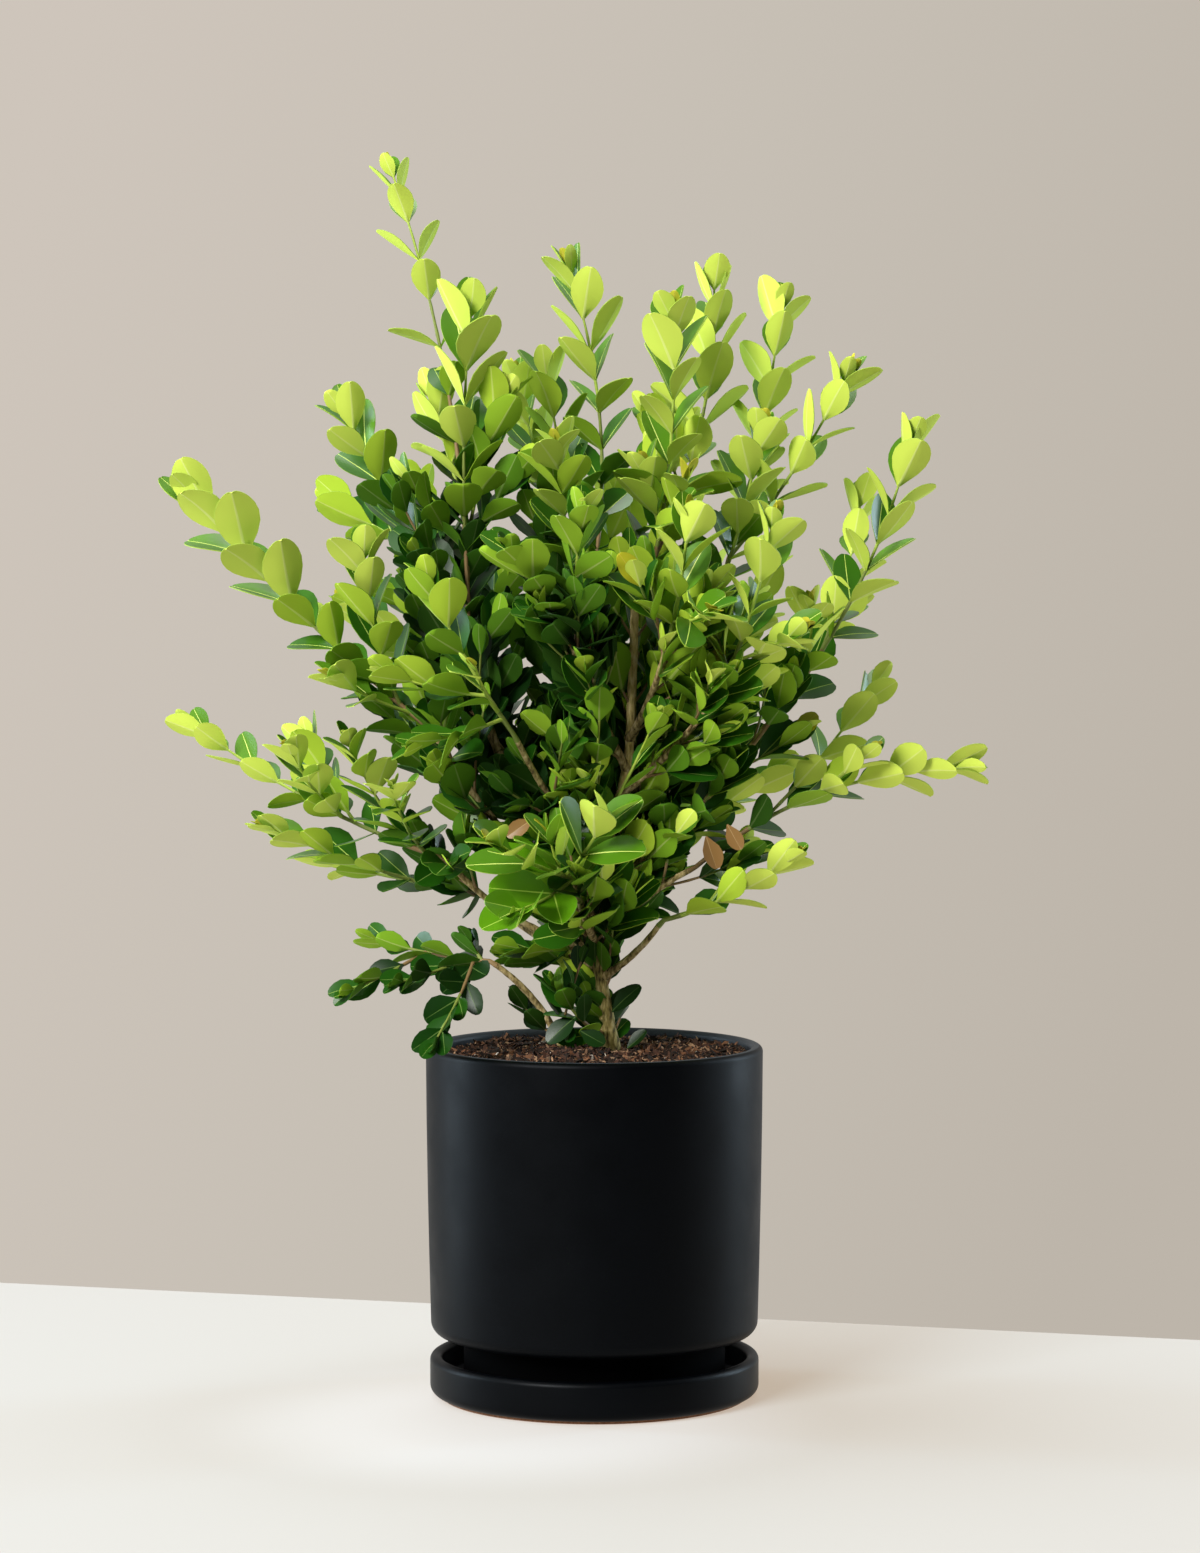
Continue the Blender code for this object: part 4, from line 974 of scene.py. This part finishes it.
# ---- leaves ----


def half_width(s):
    """A leaf's half width, as a share of its most, at a share of its length. It is widest past the middle."""
    swell = math.sin(math.pi * s ** WIDEST_POWER) ** (BASE_POWER - (BASE_POWER - TIP_POWER) * s)
    return max(swell, PETIOLE)


def twisted(x, y, z, twist):
    turn = twist * z
    return (x * math.cos(turn) - y * math.sin(turn), x * math.sin(turn) + y * math.cos(turn), z)


def leaf_template(rows, columns, veins, width, fold, cup, bend, twist):
    """A leaf of unit length as a closed thin shell: points, faces, and the part that each face is of."""
    tops = []
    for i, s in enumerate(rows):
        line = []
        for column in columns:
            share = abs(column)
            along = s + VEIN_SWEEP * math.sin(math.pi * s) * share
            if share > 0:
                x = half_width(along) * width / 2 * share
            else:
                x = min(LEAF_RIB[0] * (1 - RIB_TAPER * s), half_width(s) * width / RIB_LIMIT)
            rise = fold * x + cup * x * x / width + bend * (along - BENT_FROM) ** 2
            if 0 < share < 1:
                rise += veins * (1 if i % 2 else -1) * math.sin(math.pi * s)
            line.append(twisted(math.copysign(x, column), rise, along, twist))
        tops.append(line)
    return shell(tops, twisted(0, bend * (1 - BENT_FROM) ** 2, 1 - LEAF_NOTCH, twist))


def shell(tops, apex):
    """Gives a sheet of rows that ends in an apex its thickness. Its middle strip is the rib."""
    wide = len(tops[0])
    sheet = [point for line in tops for point in line] + [apex]
    count = len(sheet)
    middle = wide // 2 - 1
    under = []
    for i, (x, y, z) in enumerate(sheet):
        at_rib = i < count - 1 and i % wide in (middle, middle + 1)
        wider = LEAF_RIB[1] / LEAF_RIB[0] if at_rib else 1
        under.append((x * wider, y - (LEAF_THICK_AT_RIB if at_rib else LEAF_THICKNESS), z))
    faces = []
    parts = []
    for row in range(len(tops)):
        for column in range(wide - 1):
            a = row * wide + column
            b = a + count
            if row < len(tops) - 1:
                faces += [(a, a + wide, a + wide + 1, a + 1), (b, b + 1, b + wide + 1, b + wide)]
            else:
                faces += [(a, count - 1, a + 1), (b, b + 1, 2 * count - 1)]
            parts += [RIB, RIB] if column == middle else [UPPER, UNDER]
    left = [row * wide for row in range(len(tops))]
    right = [row * wide + wide - 1 for row in reversed(range(len(tops)))]
    edge = [*left, count - 1, *right, *range(wide - 2, 0, -1)]
    for a, b in zip(edge, [*edge[1:], edge[0]]):
        faces.append((a, a + count, b + count, b))
        parts.append(RIM)
    return np.array(sheet + under), faces, parts


def leaf_templates(rng):
    """Leaves with the veins' relief for near sprays, and plainer ones for the crown's inside."""
    made = {}
    for kind, grid in LEAF_GRIDS.items():
        made[kind] = [
            leaf_template(
                *grid,
                rng.uniform(*LEAF_WIDTHS),
                math.tan(math.radians(rng.uniform(*LEAF_FOLDS))),
                rng.uniform(*LEAF_CUPS),
                rng.uniform(*LEAF_BENDS),
                math.radians(rng.uniform(*LEAF_TWISTS)),
            )
            for _ in range(LEAF_SHAPES)
        ]
    return made


# ---- meshes ----


class Joined:
    """Gathers shapes and makes them one mesh object."""

    def __init__(self):
        self.points = []
        self.faces = []
        self.materials = []
        self.flat = []
        self.count = 0

    def add(self, points, faces, materials, flat=False):
        """Adds a shape. Its materials are one key for each face, or one for them all."""
        self.points.append(np.asarray(points, float))
        self.faces += [tuple(index + self.count for index in face) for face in faces]
        self.materials += [materials] * len(faces) if isinstance(materials, str) else materials
        self.flat += [flat] * len(faces)
        self.count += len(points)

    def finish(self, name, materials, collection):
        mesh = bpy.data.meshes.new(name)
        mesh.from_pydata(np.concatenate(self.points).tolist(), [], self.faces)
        used = sorted(set(self.materials))
        for key in used:
            mesh.materials.append(materials[key])
        slots = {key: i for i, key in enumerate(used)}
        mesh.polygons.foreach_set("material_index", [slots[key] for key in self.materials])
        mesh.polygons.foreach_set("use_smooth", [not flat for flat in self.flat])
        mesh.update()
        mesh.set_sharp_from_angle(angle=SHARP_ANGLE)
        obj = bpy.data.objects.new(name, mesh)
        collection.objects.link(obj)
        return obj


def rings_round(path, radii, sides, wobble=None):
    """The rings of a tube, its frame carried along without twist."""
    normal = None
    rings = []
    total = lengths_along(path)
    for i, point in enumerate(path):
        ahead = path[min(i + 1, len(path) - 1)] - path[max(i - 1, 0)]
        along = ahead.normalized()
        normal = along.orthogonal() if normal is None else square_to(normal, along)
        normal.normalize()
        across = along.cross(normal)
        for side in range(sides):
            turn = math.tau * side / sides
            radius = radii[i]
            if wobble:
                radius += wobble(turn, total[i], radii[i])
            rings.append(point + (normal * math.cos(turn) + across * math.sin(turn)) * radius)
    return rings


def tube_faces(count, sides):
    """The faces of a tube of this many rings, and its end caps."""
    faces = []
    for ring in range(count - 1):
        for side in range(sides):
            a = ring * sides + side
            b = ring * sides + (side + 1) % sides
            faces.append((a, b, b + sides, a + sides))
    last = (count - 1) * sides
    return [*faces, tuple(reversed(range(sides))), tuple(range(last, last + sides))]


def circle(radius, steps):
    turns = [math.tau * step / steps for step in range(steps)]
    return [(radius * math.cos(turn), radius * math.sin(turn)) for turn in turns]


def band_faces(first, count, steps):
    """Quads between this many rings, of which the first starts at the index first."""
    faces = []
    for a in range(first, first + (count - 1) * steps, steps):
        for step in range(steps):
            after = (step + 1) % steps
            faces.append((a + step, a + steps + step, a + steps + after, a + after))
    return faces


def turned(name, profile, material, collection):
    """A smooth solid of revolution from a profile of (radius, height) that starts and ends on the axis."""
    rim = profile[1:-1]
    points = [(0, 0, profile[0][1]), (0, 0, profile[-1][1])]
    for radius, height in rim:
        points += [(x, y, height) for x, y in circle(radius, TURNED_STEPS)]
    faces = band_faces(2, len(rim), TURNED_STEPS)
    last = len(points) - TURNED_STEPS
    for step in range(TURNED_STEPS):
        after = (step + 1) % TURNED_STEPS
        faces += [(0, 2 + step, 2 + after), (1, last + after, last + step)]
    made = Joined()
    made.add(points, faces, "only")
    obj = made.finish(name, {"only": material}, collection)
    recalculated(obj)
    return obj


def recalculated(obj):
    """Turns every face outwards."""
    body = bmesh.new()
    body.from_mesh(obj.data)
    bmesh.ops.recalc_face_normals(body, faces=body.faces)
    body.to_mesh(obj.data)
    body.free()


def arc(centre, radius, start, end, steps):
    """Points of an arc in the profile plane, angles in degrees from +X."""
    angles = [math.radians(start + (end - start) * i / steps) for i in range(steps + 1)]
    return [(centre[0] + radius * math.cos(a), centre[1] + radius * math.sin(a)) for a in angles]


# ---- materials ----


def feed(tree, node, inputs):
    """Links each input to another node's output, or sets its value."""
    for key, value in inputs.items():
        if isinstance(value, bpy.types.NodeSocket):
            tree.links.new(value, node.inputs[key])
        else:
            node.inputs[key].default_value = value


def add_node(tree, kind, inputs, output=0):
    """The output of a new shader node."""
    node = tree.nodes.new("ShaderNode" + kind)
    feed(tree, node, inputs)
    return node.outputs[output]


def plain_material(name, colour, roughness, specular=0.5):
    material = bpy.data.materials.new(name)
    material.use_nodes = True
    shader = material.node_tree.nodes["Principled BSDF"]
    shader.inputs["Base Color"].default_value = (*colour, 1)
    shader.inputs["Roughness"].default_value = roughness
    shader.inputs["Specular IOR Level"].default_value = specular
    return material


def noise_node(tree, scale, detail, stretch=(1, 1, 1)):
    """A noise texture in object space, stretched along the axes."""
    place = add_node(tree, "TexCoord", {}, "Object")
    place = add_node(tree, "Mapping", {"Vector": place, "Scale": stretch})
    return add_node(tree, "TexNoise", {"Vector": place, "Scale": scale, "Detail": detail}, "Fac")


def ramp_node(tree, factor, stops):
    """Colours by a factor. Stops are (position, colour)."""
    ramp = tree.nodes.new("ShaderNodeValToRGB")
    elements = ramp.color_ramp.elements
    while len(elements) < len(stops):
        elements.new(0.5)
    for element, (position, colour) in zip(elements, stops):
        element.position = position
        element.color = (*colour, 1)
    tree.links.new(factor, ramp.inputs["Fac"])
    return ramp.outputs["Color"]


def add_bump(tree, shader, height, distance):
    normal = add_node(tree, "Bump", {"Height": height, "Strength": 1, "Distance": distance})
    tree.links.new(normal, shader.inputs["Normal"])


def glaze_material(name, colour, roughness):
    """A matt glaze: close to black, with a faintly mottled sheen and a fine powdery grain."""
    material = plain_material(name, colour, 0.5, GLAZE_SPECULAR)
    tree = material.node_tree
    shader = tree.nodes["Principled BSDF"]
    shader.inputs["Specular Tint"].default_value = (*GLAZE_TINT, 1)
    mottle = noise_node(tree, GLAZE_MOTTLE, 3)
    lighter = tuple(channel * GLAZE_LIGHTER for channel in colour)
    sheen = {"Value": mottle}
    sheen["From Min"], sheen["From Max"] = NOISE_RANGE
    sheen["To Min"], sheen["To Max"] = roughness
    feed(tree, shader, {
        "Base Color": ramp_node(tree, mottle, list(zip(NOISE_RANGE, (colour, lighter)))),
        "Roughness": add_node(tree, "MapRange", sheen),
    })
    add_bump(tree, shader, noise_node(tree, GLAZE_GRAIN, 2), GLAZE_GRAIN_DEPTH)
    return material


def grained_material(name, stops, scale, along, roughness, depth, high_stops=None):
    """Bark or soil: colours by one noise, which is also its relief. High up the trunk it may have lighter
    ones, partly painted light.
    """
    material = plain_material(name, stops[0][1], roughness, GRAIN_SPECULAR)
    tree = material.node_tree
    shader = tree.nodes["Principled BSDF"]
    factor = noise_node(tree, scale, 8, (1, 1, along))
    colour = ramp_node(tree, factor, stops)
    if high_stops:
        place = add_node(tree, "TexCoord", {}, "Object")
        height = add_node(tree, "SeparateXYZ", {"Vector": place}, "Z")
        share = add_node(tree, "MapRange", {"Value": height, **HIGH_TRUNK})
        high = ramp_node(tree, factor, high_stops)
        colour = add_node(tree, "MixRGB", {"Fac": share, "Color1": colour, "Color2": high})
    tree.links.new(colour, shader.inputs["Base Color"])
    add_bump(tree, shader, factor, depth)
    return material


# ---- pot, saucer and soil ----


def make_saucer(collection):
    wall = SAUCER_WALL / 2
    inside = SAUCER_RADIUS - SAUCER_WALL
    edge = (SAUCER_RADIUS - SAUCER_EDGE, SAUCER_BASE_HEIGHT + SAUCER_EDGE)
    fillet = (inside - SAUCER_FILLET, SAUCER_FLOOR + SAUCER_FILLET)
    within = SAUCER_BASE_RADIUS - CRISP
    profile = [
        (0, SAUCER_FLOOR),
        (inside - SAUCER_FILLET - CRISP, SAUCER_FLOOR),
        *arc(fillet, SAUCER_FILLET, -90, 0, 8),
        *arc((SAUCER_RADIUS - wall, SAUCER_HEIGHT - wall), wall, 180, 0, 20),
        *arc(edge, SAUCER_EDGE, 0, -90, 10),
        (SAUCER_BASE_RADIUS, SAUCER_BASE_HEIGHT),
        (SAUCER_BASE_RADIUS, SAUCER_BASE_HEIGHT / 2),
        (SAUCER_BASE_RADIUS, 0),
        (within, 0),
        (0, 0),
    ]
    glaze = glaze_material("saucer_glaze", GLAZE, SAUCER_ROUGHNESS)
    obj = turned("saucer_glazed", profile, glaze, collection)
    obj.data.materials.append(grained_material("bare_clay", *CLAY))
    for face in obj.data.polygons:
        if face.center.z < SAUCER_BASE_HEIGHT and face.center.xy.length > within:
            face.material_index = 1
    return obj


def make_pot(collection):
    lip = POT_WALL / 2
    low = POT_RADIUS - POT_TAPER
    floor = POT_BOTTOM + POT_WALL
    foot = SAUCER_FLOOR + CLEARANCE
    halfway = (POT_TOP + POT_BOTTOM) / 2
    profile = [
        (0, floor),
        (low - POT_WALL - CRISP, floor),
        (low - POT_WALL, floor),
        *arc((POT_RADIUS - lip, POT_TOP - lip), lip, 180, 0, 24),
        (POT_RADIUS - POT_TAPER * POT_TAPER_HALFWAY / 3, (POT_TOP + halfway) / 2),
        (POT_RADIUS - POT_TAPER * POT_TAPER_HALFWAY, halfway),
        (POT_RADIUS - POT_TAPER * (1 + POT_TAPER_HALFWAY) / 2, (halfway + POT_BOTTOM) / 2),
        *arc((low - POT_CORNER, POT_BOTTOM + POT_CORNER), POT_CORNER, 0, -90, 14),
        (POT_FOOT_RADIUS, POT_BOTTOM),
        (POT_FOOT_RADIUS, foot),
        (0, foot),
    ]
    obj = turned("pot_glazed", profile, glaze_material("pot_glaze", GLAZE, POT_ROUGHNESS), collection)
    obj.data.materials.append(glaze_material("inside_painted_light_glaze", INSIDE_PAINTED_LIGHT_GLAZE, POT_ROUGHNESS))
    obj.data.materials.append(plain_material("foot_painted_shade_glaze", *PAINTED_SHADE_FOOT_GLAZE))
    for face in obj.data.polygons:
        x, y, z = face.center
        inwards = x * face.normal.x + y * face.normal.y < 0
        on_lip = z > POT_TOP - POT_WALL and math.hypot(x, y) < POT_RADIUS - INSIDE_FROM
        # The lip and the inner wall take the lighter glaze, as painted light from above
        if z > floor and inwards or on_lip:
            face.material_index = 1
        # Under the pot, a black, dull glaze as painted shade
        elif z < POT_BOTTOM:
            face.material_index = 2
    return obj


def soil_height(x, y):
    """The height of the soil's rough surface. It is heaped a little here and there, and dips at the wall."""
    radius = math.hypot(x, y)
    edge = POT_RADIUS - POT_WALL - SOIL_DIPS_FROM
    dip = max(0.0, radius - SOIL_DIPS_FROM) / edge
    heap = noise.noise(Vector((x, y, HEAP_PLANE)) * SOIL_HEAP_SCALE) * SOIL_HEAP
    lump = noise.noise(Vector((x, y, LUMP_PLANE)) * SOIL_LUMP_SCALE) * SOIL_LUMP
    return SOIL_TOP + SOIL_MOUND * (1 - 2 * dip) + heap + lump


def make_soil(collection):
    """The soil's solid body, with a rough top."""
    low = POT_RADIUS - POT_TAPER - POT_WALL - CLEARANCE
    floor = POT_BOTTOM + POT_WALL + CLEARANCE
    points = [(0, 0, soil_height(0, 0))]
    for ring in range(1, SOIL_RINGS + 1):
        points += [(x, y, soil_height(x, y)) for x, y in circle(SOIL_RADIUS * ring / SOIL_RINGS, SOIL_STEPS)]
    points += [(x, y, floor) for x, y in circle(low, SOIL_STEPS)]
    faces = [(0, 1 + step, 1 + (step + 1) % SOIL_STEPS) for step in range(SOIL_STEPS)]
    faces += band_faces(1, SOIL_RINGS + 1, SOIL_STEPS)
    faces.append(tuple(reversed(range(len(points) - SOIL_STEPS, len(points)))))
    made = Joined()
    made.add(points, faces, "soil")
    return made.finish("soil_body", {"soil": grained_material("soil", *SOIL)}, collection)


def chip_shape(rng):
    """A splintered crumb: a bent bar with uneven corners."""
    points = []
    for x, width in CHIP_RINGS:
        for turn in range(CHIP_SIDES):
            angle = math.tau * turn / CHIP_SIDES + rng.uniform(-CHIP_TURNS, CHIP_TURNS)
            radius = width * rng.uniform(*CHIP_WIDTHS)
            shift = rng.uniform(-CHIP_SHIFTS, CHIP_SHIFTS)
            points.append((x + shift, radius * math.cos(angle), radius * math.sin(angle)))
    return np.array(points), tube_faces(len(CHIP_RINGS), CHIP_SIDES)


def make_crumbs(collection):
    """Chips and fibres of bark and coir, lying all ways over the soil."""
    rng = random.Random(SEED)
    shapes = [chip_shape(rng) for _ in range(CRUMB_SHAPES)]
    made = Joined()
    kinds = [kind for kind, (share, _) in CRUMBS.items() for _ in range(share)]
    for _ in range(CRUMB_COUNT):
        length = rng.choice(CRUMB_STRETCHES) * rng.uniform(*CRUMB_LENGTH)
        radius = (SOIL_RADIUS - length / 2) * math.sqrt(rng.random())
        turn = rng.uniform(0, math.tau)
        x, y = radius * math.cos(turn), radius * math.sin(turn)
        points, faces = rng.choice(shapes)
        thick = rng.uniform(*CRUMB_THICKNESS) * length
        scale = np.array((length, thick, thick * rng.uniform(*CRUMB_FLATNESS)))
        spin = Matrix.Rotation(rng.uniform(0, math.tau), 3, "Z")
        spin = spin @ Matrix.Rotation(rng.gauss(0, CRUMB_TILT), 3, "Y")
        placed = (points * scale) @ np.array(spin).T + np.array((x, y, soil_height(x, y) + CRUMB_LIFT))
        made.add(placed, faces, rng.choice(kinds), flat=True)
    materials = {kind: plain_material("crumb_" + kind, row[1], *CRUMB_GLOSS) for kind, row in CRUMBS.items()}
    return made.finish("soil_crumbs", materials, collection)


# ---- bark, twigs and leaves ----


def bark_relief(depth, seed):
    """Long ridges and fissures, deeper on a thicker limb."""
    level, ridge_weight = RIDGES
    scale, shift, flake_weight = FLAKES

    def wobble(turn, distance, radius):
        place = Vector((math.cos(turn), math.sin(turn), 0)) * BARK_AROUND
        place.z = distance * BARK_ALONG + seed * LIMBS_APART
        ridges = abs(noise.noise(place)) - level
        flakes = noise.noise(place * scale + shift)
        return radius * depth * (flake_weight * flakes - ridge_weight * ridges)

    return wobble


def width_at(radii, share):
    """The radius at a share of a limb's length, from its radii at even steps."""
    place = share * (len(radii) - 1)
    low = min(int(place), len(radii) - 2)
    return radii[low] + (radii[low + 1] - radii[low]) * (place - low)


def add_limb(made, path, radii, depth, seed, collar=0, end="bark"):
    """A limb with the bark's relief, its foot thicker by the collar. Its tip may be another material."""
    fine = spaced(path, BARK_STEP)
    total = lengths_along(fine)
    widths = []
    for distance in total:
        swell = 1 + collar * math.exp(-distance / COLLAR_LENGTH)
        widths.append(width_at(radii, distance / total[-1]) * swell)
    faces = tube_faces(len(fine), BARK_SIDES)
    rings = rings_round(fine, widths, BARK_SIDES, bark_relief(depth, seed))
    made.add(rings, faces, [*["bark"] * (len(faces) - 1), end])


def make_bark(limbs, collection):
    """The trunk and its boughs, with the bark's relief."""
    trunk = Joined()
    path, radii = limbs["trunk"]
    add_limb(trunk, [path[0] - UP * BURIED, *path], [radii[0], *radii], TRUNK_RELIEF, 1)
    boughs = Joined()
    for i, (name, (path, radii)) in enumerate(limbs.items()):
        if name == DROOP_BOUGH:
            add_limb(boughs, [path[0] - UP * BURIED, *path], radii, BOUGH_RELIEF, i)
        elif name != "trunk":
            add_limb(boughs, path, radii, BOUGH_RELIEF, i, COLLAR)
    limb, share, along, reach, radius = STUB
    path, _ = limbs[limb]
    foot, _ = place_on(path, share * lengths_along(path)[-1])
    stub = [foot, foot + Vector(along).normalized() * reach]
    add_limb(boughs, stub, [radius, radius], BOUGH_RELIEF, len(limbs), end="cut")
    wood = {"bark": grained_material("bough_bark", *BOUGH_BARK), "cut": plain_material("cut_wood", *CUT_WOOD)}
    trunk_obj = trunk.finish("trunk_bark", {"bark": grained_material("trunk_bark", *TRUNK_BARK)}, collection)
    return trunk_obj, boughs.finish("bough_bark", wood, collection)


def twig_wood(behind):
    """The kind of wood that a twig has this far behind its tip."""
    return [name for name, (start, _) in TWIGS.items() if behind >= start][-1]


def make_twigs(crown, collection):
    made = Joined()
    for growth in crown.values():
        for path, radii, behind in growth.twigs:
            fine = spaced(path, TWIG_STEP)
            total = lengths_along(fine)
            widths = []
            for distance in total:
                node = max(0.0, math.cos(math.tau * distance / NODE_EVERY))
                widths.append(width_at(radii, distance / total[-1]) * (1 + NODE_SWELL * node))
            woods = []
            for distance in total[:-1]:
                woods += [twig_wood(behind + total[-1] - distance)] * TWIG_SIDES
            rings = rings_round(fine, widths, TWIG_SIDES)
            made.add(rings, tube_faces(len(fine), TWIG_SIDES), [*woods, woods[0], woods[-1]])
    materials = {name: plain_material("twig_" + name, row[1], TWIG_ROUGHNESS) for name, row in TWIGS.items()}
    return made.finish("twigs", materials, collection)


def leaf_materials():
    """A material for each part of a leaf in each tone."""
    made = {}
    for tone, (_, *colours) in TONES.items():
        rim = tuple(a + (b - a) * RIM_SHARE for a, b in zip(*colours[:2]))
        for part, (name, colour) in enumerate(zip(PART_NAMES, (*colours, rim))):
            made[tone, part] = plain_material(f"leaf_{tone}_{name}", colour, *LEAF_GLOSS[part])
    return made


def tone_name(value, kind):
    """The name of a tone, or of the kind that takes its place short of a shoot's tip."""
    if kind and value < TONES["tip"][0]:
        return kind
    return [name for name, row in TONES.items() if value >= row[0]][-1]


def make_leaves(crown, materials, collection):
    """One piece of leaves for each mass."""
    templates = leaf_templates(random.Random(SEED))
    pieces = {}
    for i, (mass, growth) in enumerate(crown.items()):
        rng = random.Random(SEED + i)
        made = Joined()
        for matrix, length, value, kind in growth.leaves:
            grid = "near" if length > NEAR_LENGTH and (kind or value > NEAR_TONE) else "inner"
            points, faces, parts = rng.choice(templates[grid])
            matrix = np.array(matrix)
            tone = tone_name(value, kind)
            placed = points @ matrix[:3, :3].T + matrix[:3, 3]
            made.add(placed, faces, [(tone, part) for part in parts])
        pieces[mass] = made.finish("leaves_" + mass, materials, collection)
    return pieces


# ---- stage ----


def make_table(collection):
    """A plain pale tabletop, set askew as seen from the front, with painted light in its emission."""
    left, right = (Vector((*point, 0)) for point in TABLE_FAR_EDGE)
    along = (right - left).normalized()
    near = Vector((along.y, -along.x, 0)) * TABLE_DEPTH
    corners = [left - along * TABLE_BEYOND, right + along * TABLE_BEYOND]
    corners += [corners[1] + near, corners[0] + near]
    points = [corner - UP * drop for drop in (0, TABLE_THICKNESS) for corner in corners]
    faces = [(3, 2, 1, 0), (4, 5, 6, 7), (0, 1, 5, 4), (1, 2, 6, 5), (2, 3, 7, 6), (3, 0, 4, 7)]
    made = Joined()
    made.add(points, faces, "top", flat=True)
    material = plain_material("tabletop", TABLE_COLOUR, *TABLE_GLOSS)
    tree = material.node_tree
    away = tree.nodes.new("ShaderNodeVectorMath")
    away.operation = "DISTANCE"
    feed(tree, away, {0: add_node(tree, "TexCoord", {}, "Object"), 1: FRONT_PLACE})
    share = tree.nodes.new("ShaderNodeMapRange")
    share.interpolation_type = "SMOOTHSTEP"
    feed(tree, share, {"Value": away.outputs["Value"], **FRONT_REACH})
    glow = ramp_node(tree, share.outputs["Result"], [(0, FRONT_GLOW), (1, TABLE_GLOW)])
    feed(tree, tree.nodes["Principled BSDF"], {"Emission Color": glow, "Emission Strength": 1})
    obj = made.finish("tabletop", {"top": material}, collection)
    edge = obj.modifiers.new("rounded", "BEVEL")
    edge.width = TABLE_EDGE
    edge.segments = 3
    recalculated(obj)


def add_light(name, place, size, power, colour, collection):
    data = bpy.data.lights.new(name, "AREA")
    data.shape = "RECTANGLE"
    data.size, data.size_y = size
    data.energy = power
    data.color = colour
    obj = bpy.data.objects.new(name, data)
    obj.location = place
    obj.rotation_euler = (Vector(place) - Vector(LIGHT_TARGET)).to_track_quat("Z", "Y").to_euler()
    obj.visible_camera = False
    collection.objects.link(obj)


def make_world():
    """A beige backdrop, a little darker to the right, and soft light that is dimmest from the front."""
    world = bpy.data.worlds.new("backdrop")
    bpy.context.scene.world = world
    world.use_nodes = True
    tree = world.node_tree
    tree.nodes.clear()
    axes = tree.nodes.new("ShaderNodeSeparateXYZ")
    feed(tree, axes, {"Vector": add_node(tree, "TexCoord", {}, "Generated")})
    slope = tree.nodes.new("ShaderNodeMath")
    slope.operation = "MULTIPLY_ADD"
    feed(tree, slope, {0: axes.outputs["Z"], 1: -BACKDROP_RISE, 2: axes.outputs["X"]})
    shade = add_node(tree, "MapRange", {"Value": slope.outputs["Value"], **BACKDROP_SPAN})
    backdrop = add_node(tree, "Background", {"Color": ramp_node(tree, shade, BACKDROP_STOPS)})
    power = add_node(tree, "MapRange", {"Value": axes.outputs["Y"], **AMBIENT_RANGE})
    ambient = add_node(tree, "Background", {"Color": (*AMBIENT_COLOUR, 1), "Strength": power})
    seen = add_node(tree, "LightPath", {}, "Is Camera Ray")
    mixed = add_node(tree, "MixShader", {"Fac": seen, 1: ambient, 2: backdrop})
    feed(tree, tree.nodes.new("ShaderNodeOutputWorld"), {"Surface": mixed})


def make_camera(collection):
    data = bpy.data.cameras.new("camera")
    data.lens = CAMERA_LENS
    data.sensor_width = 36
    camera = bpy.data.objects.new("camera", data)
    camera.location = CAMERA_PLACE
    camera.rotation_euler = (math.radians(90 - CAMERA_PITCH), 0, 0)
    collection.objects.link(camera)
    bpy.context.scene.camera = camera


def new_collection(name):
    collection = bpy.data.collections.new(name)
    bpy.context.scene.collection.children.link(collection)
    return collection


def ride(piece, slot, *nodes):
    """The piece belongs to the part's one body, and stands for the nodes. The slot is not used."""
    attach(piece, "root")
    if nodes:
        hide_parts(*nodes)


def main():
    bpy.context.scene.view_settings.view_transform = "Standard"
    stage = new_collection("stage")
    make_camera(stage)
    make_world()
    make_table(stage)
    for row in LIGHTS:
        add_light(*row, stage)

    looks = new_collection("looks")
    ride(make_pot(looks), "glaze", "pot")
    ride(make_saucer(looks), "glaze", "saucer")
    ride(make_soil(looks), "soil", "soil")
    ride(make_crumbs(looks), "soil")
    limbs = make_limbs()
    trunk, boughs = make_bark(limbs, looks)
    ride(trunk, "bark", "trunk")
    ride(boughs, "bark", *BOUGHS, DROOP_BOUGH)
    crown = grow_crown(limbs)
    ride(make_twigs(crown, looks), "foliage")
    for mass, leaves in make_leaves(crown, leaf_materials(), looks).items():
        ride(leaves, "foliage", mass)


main()
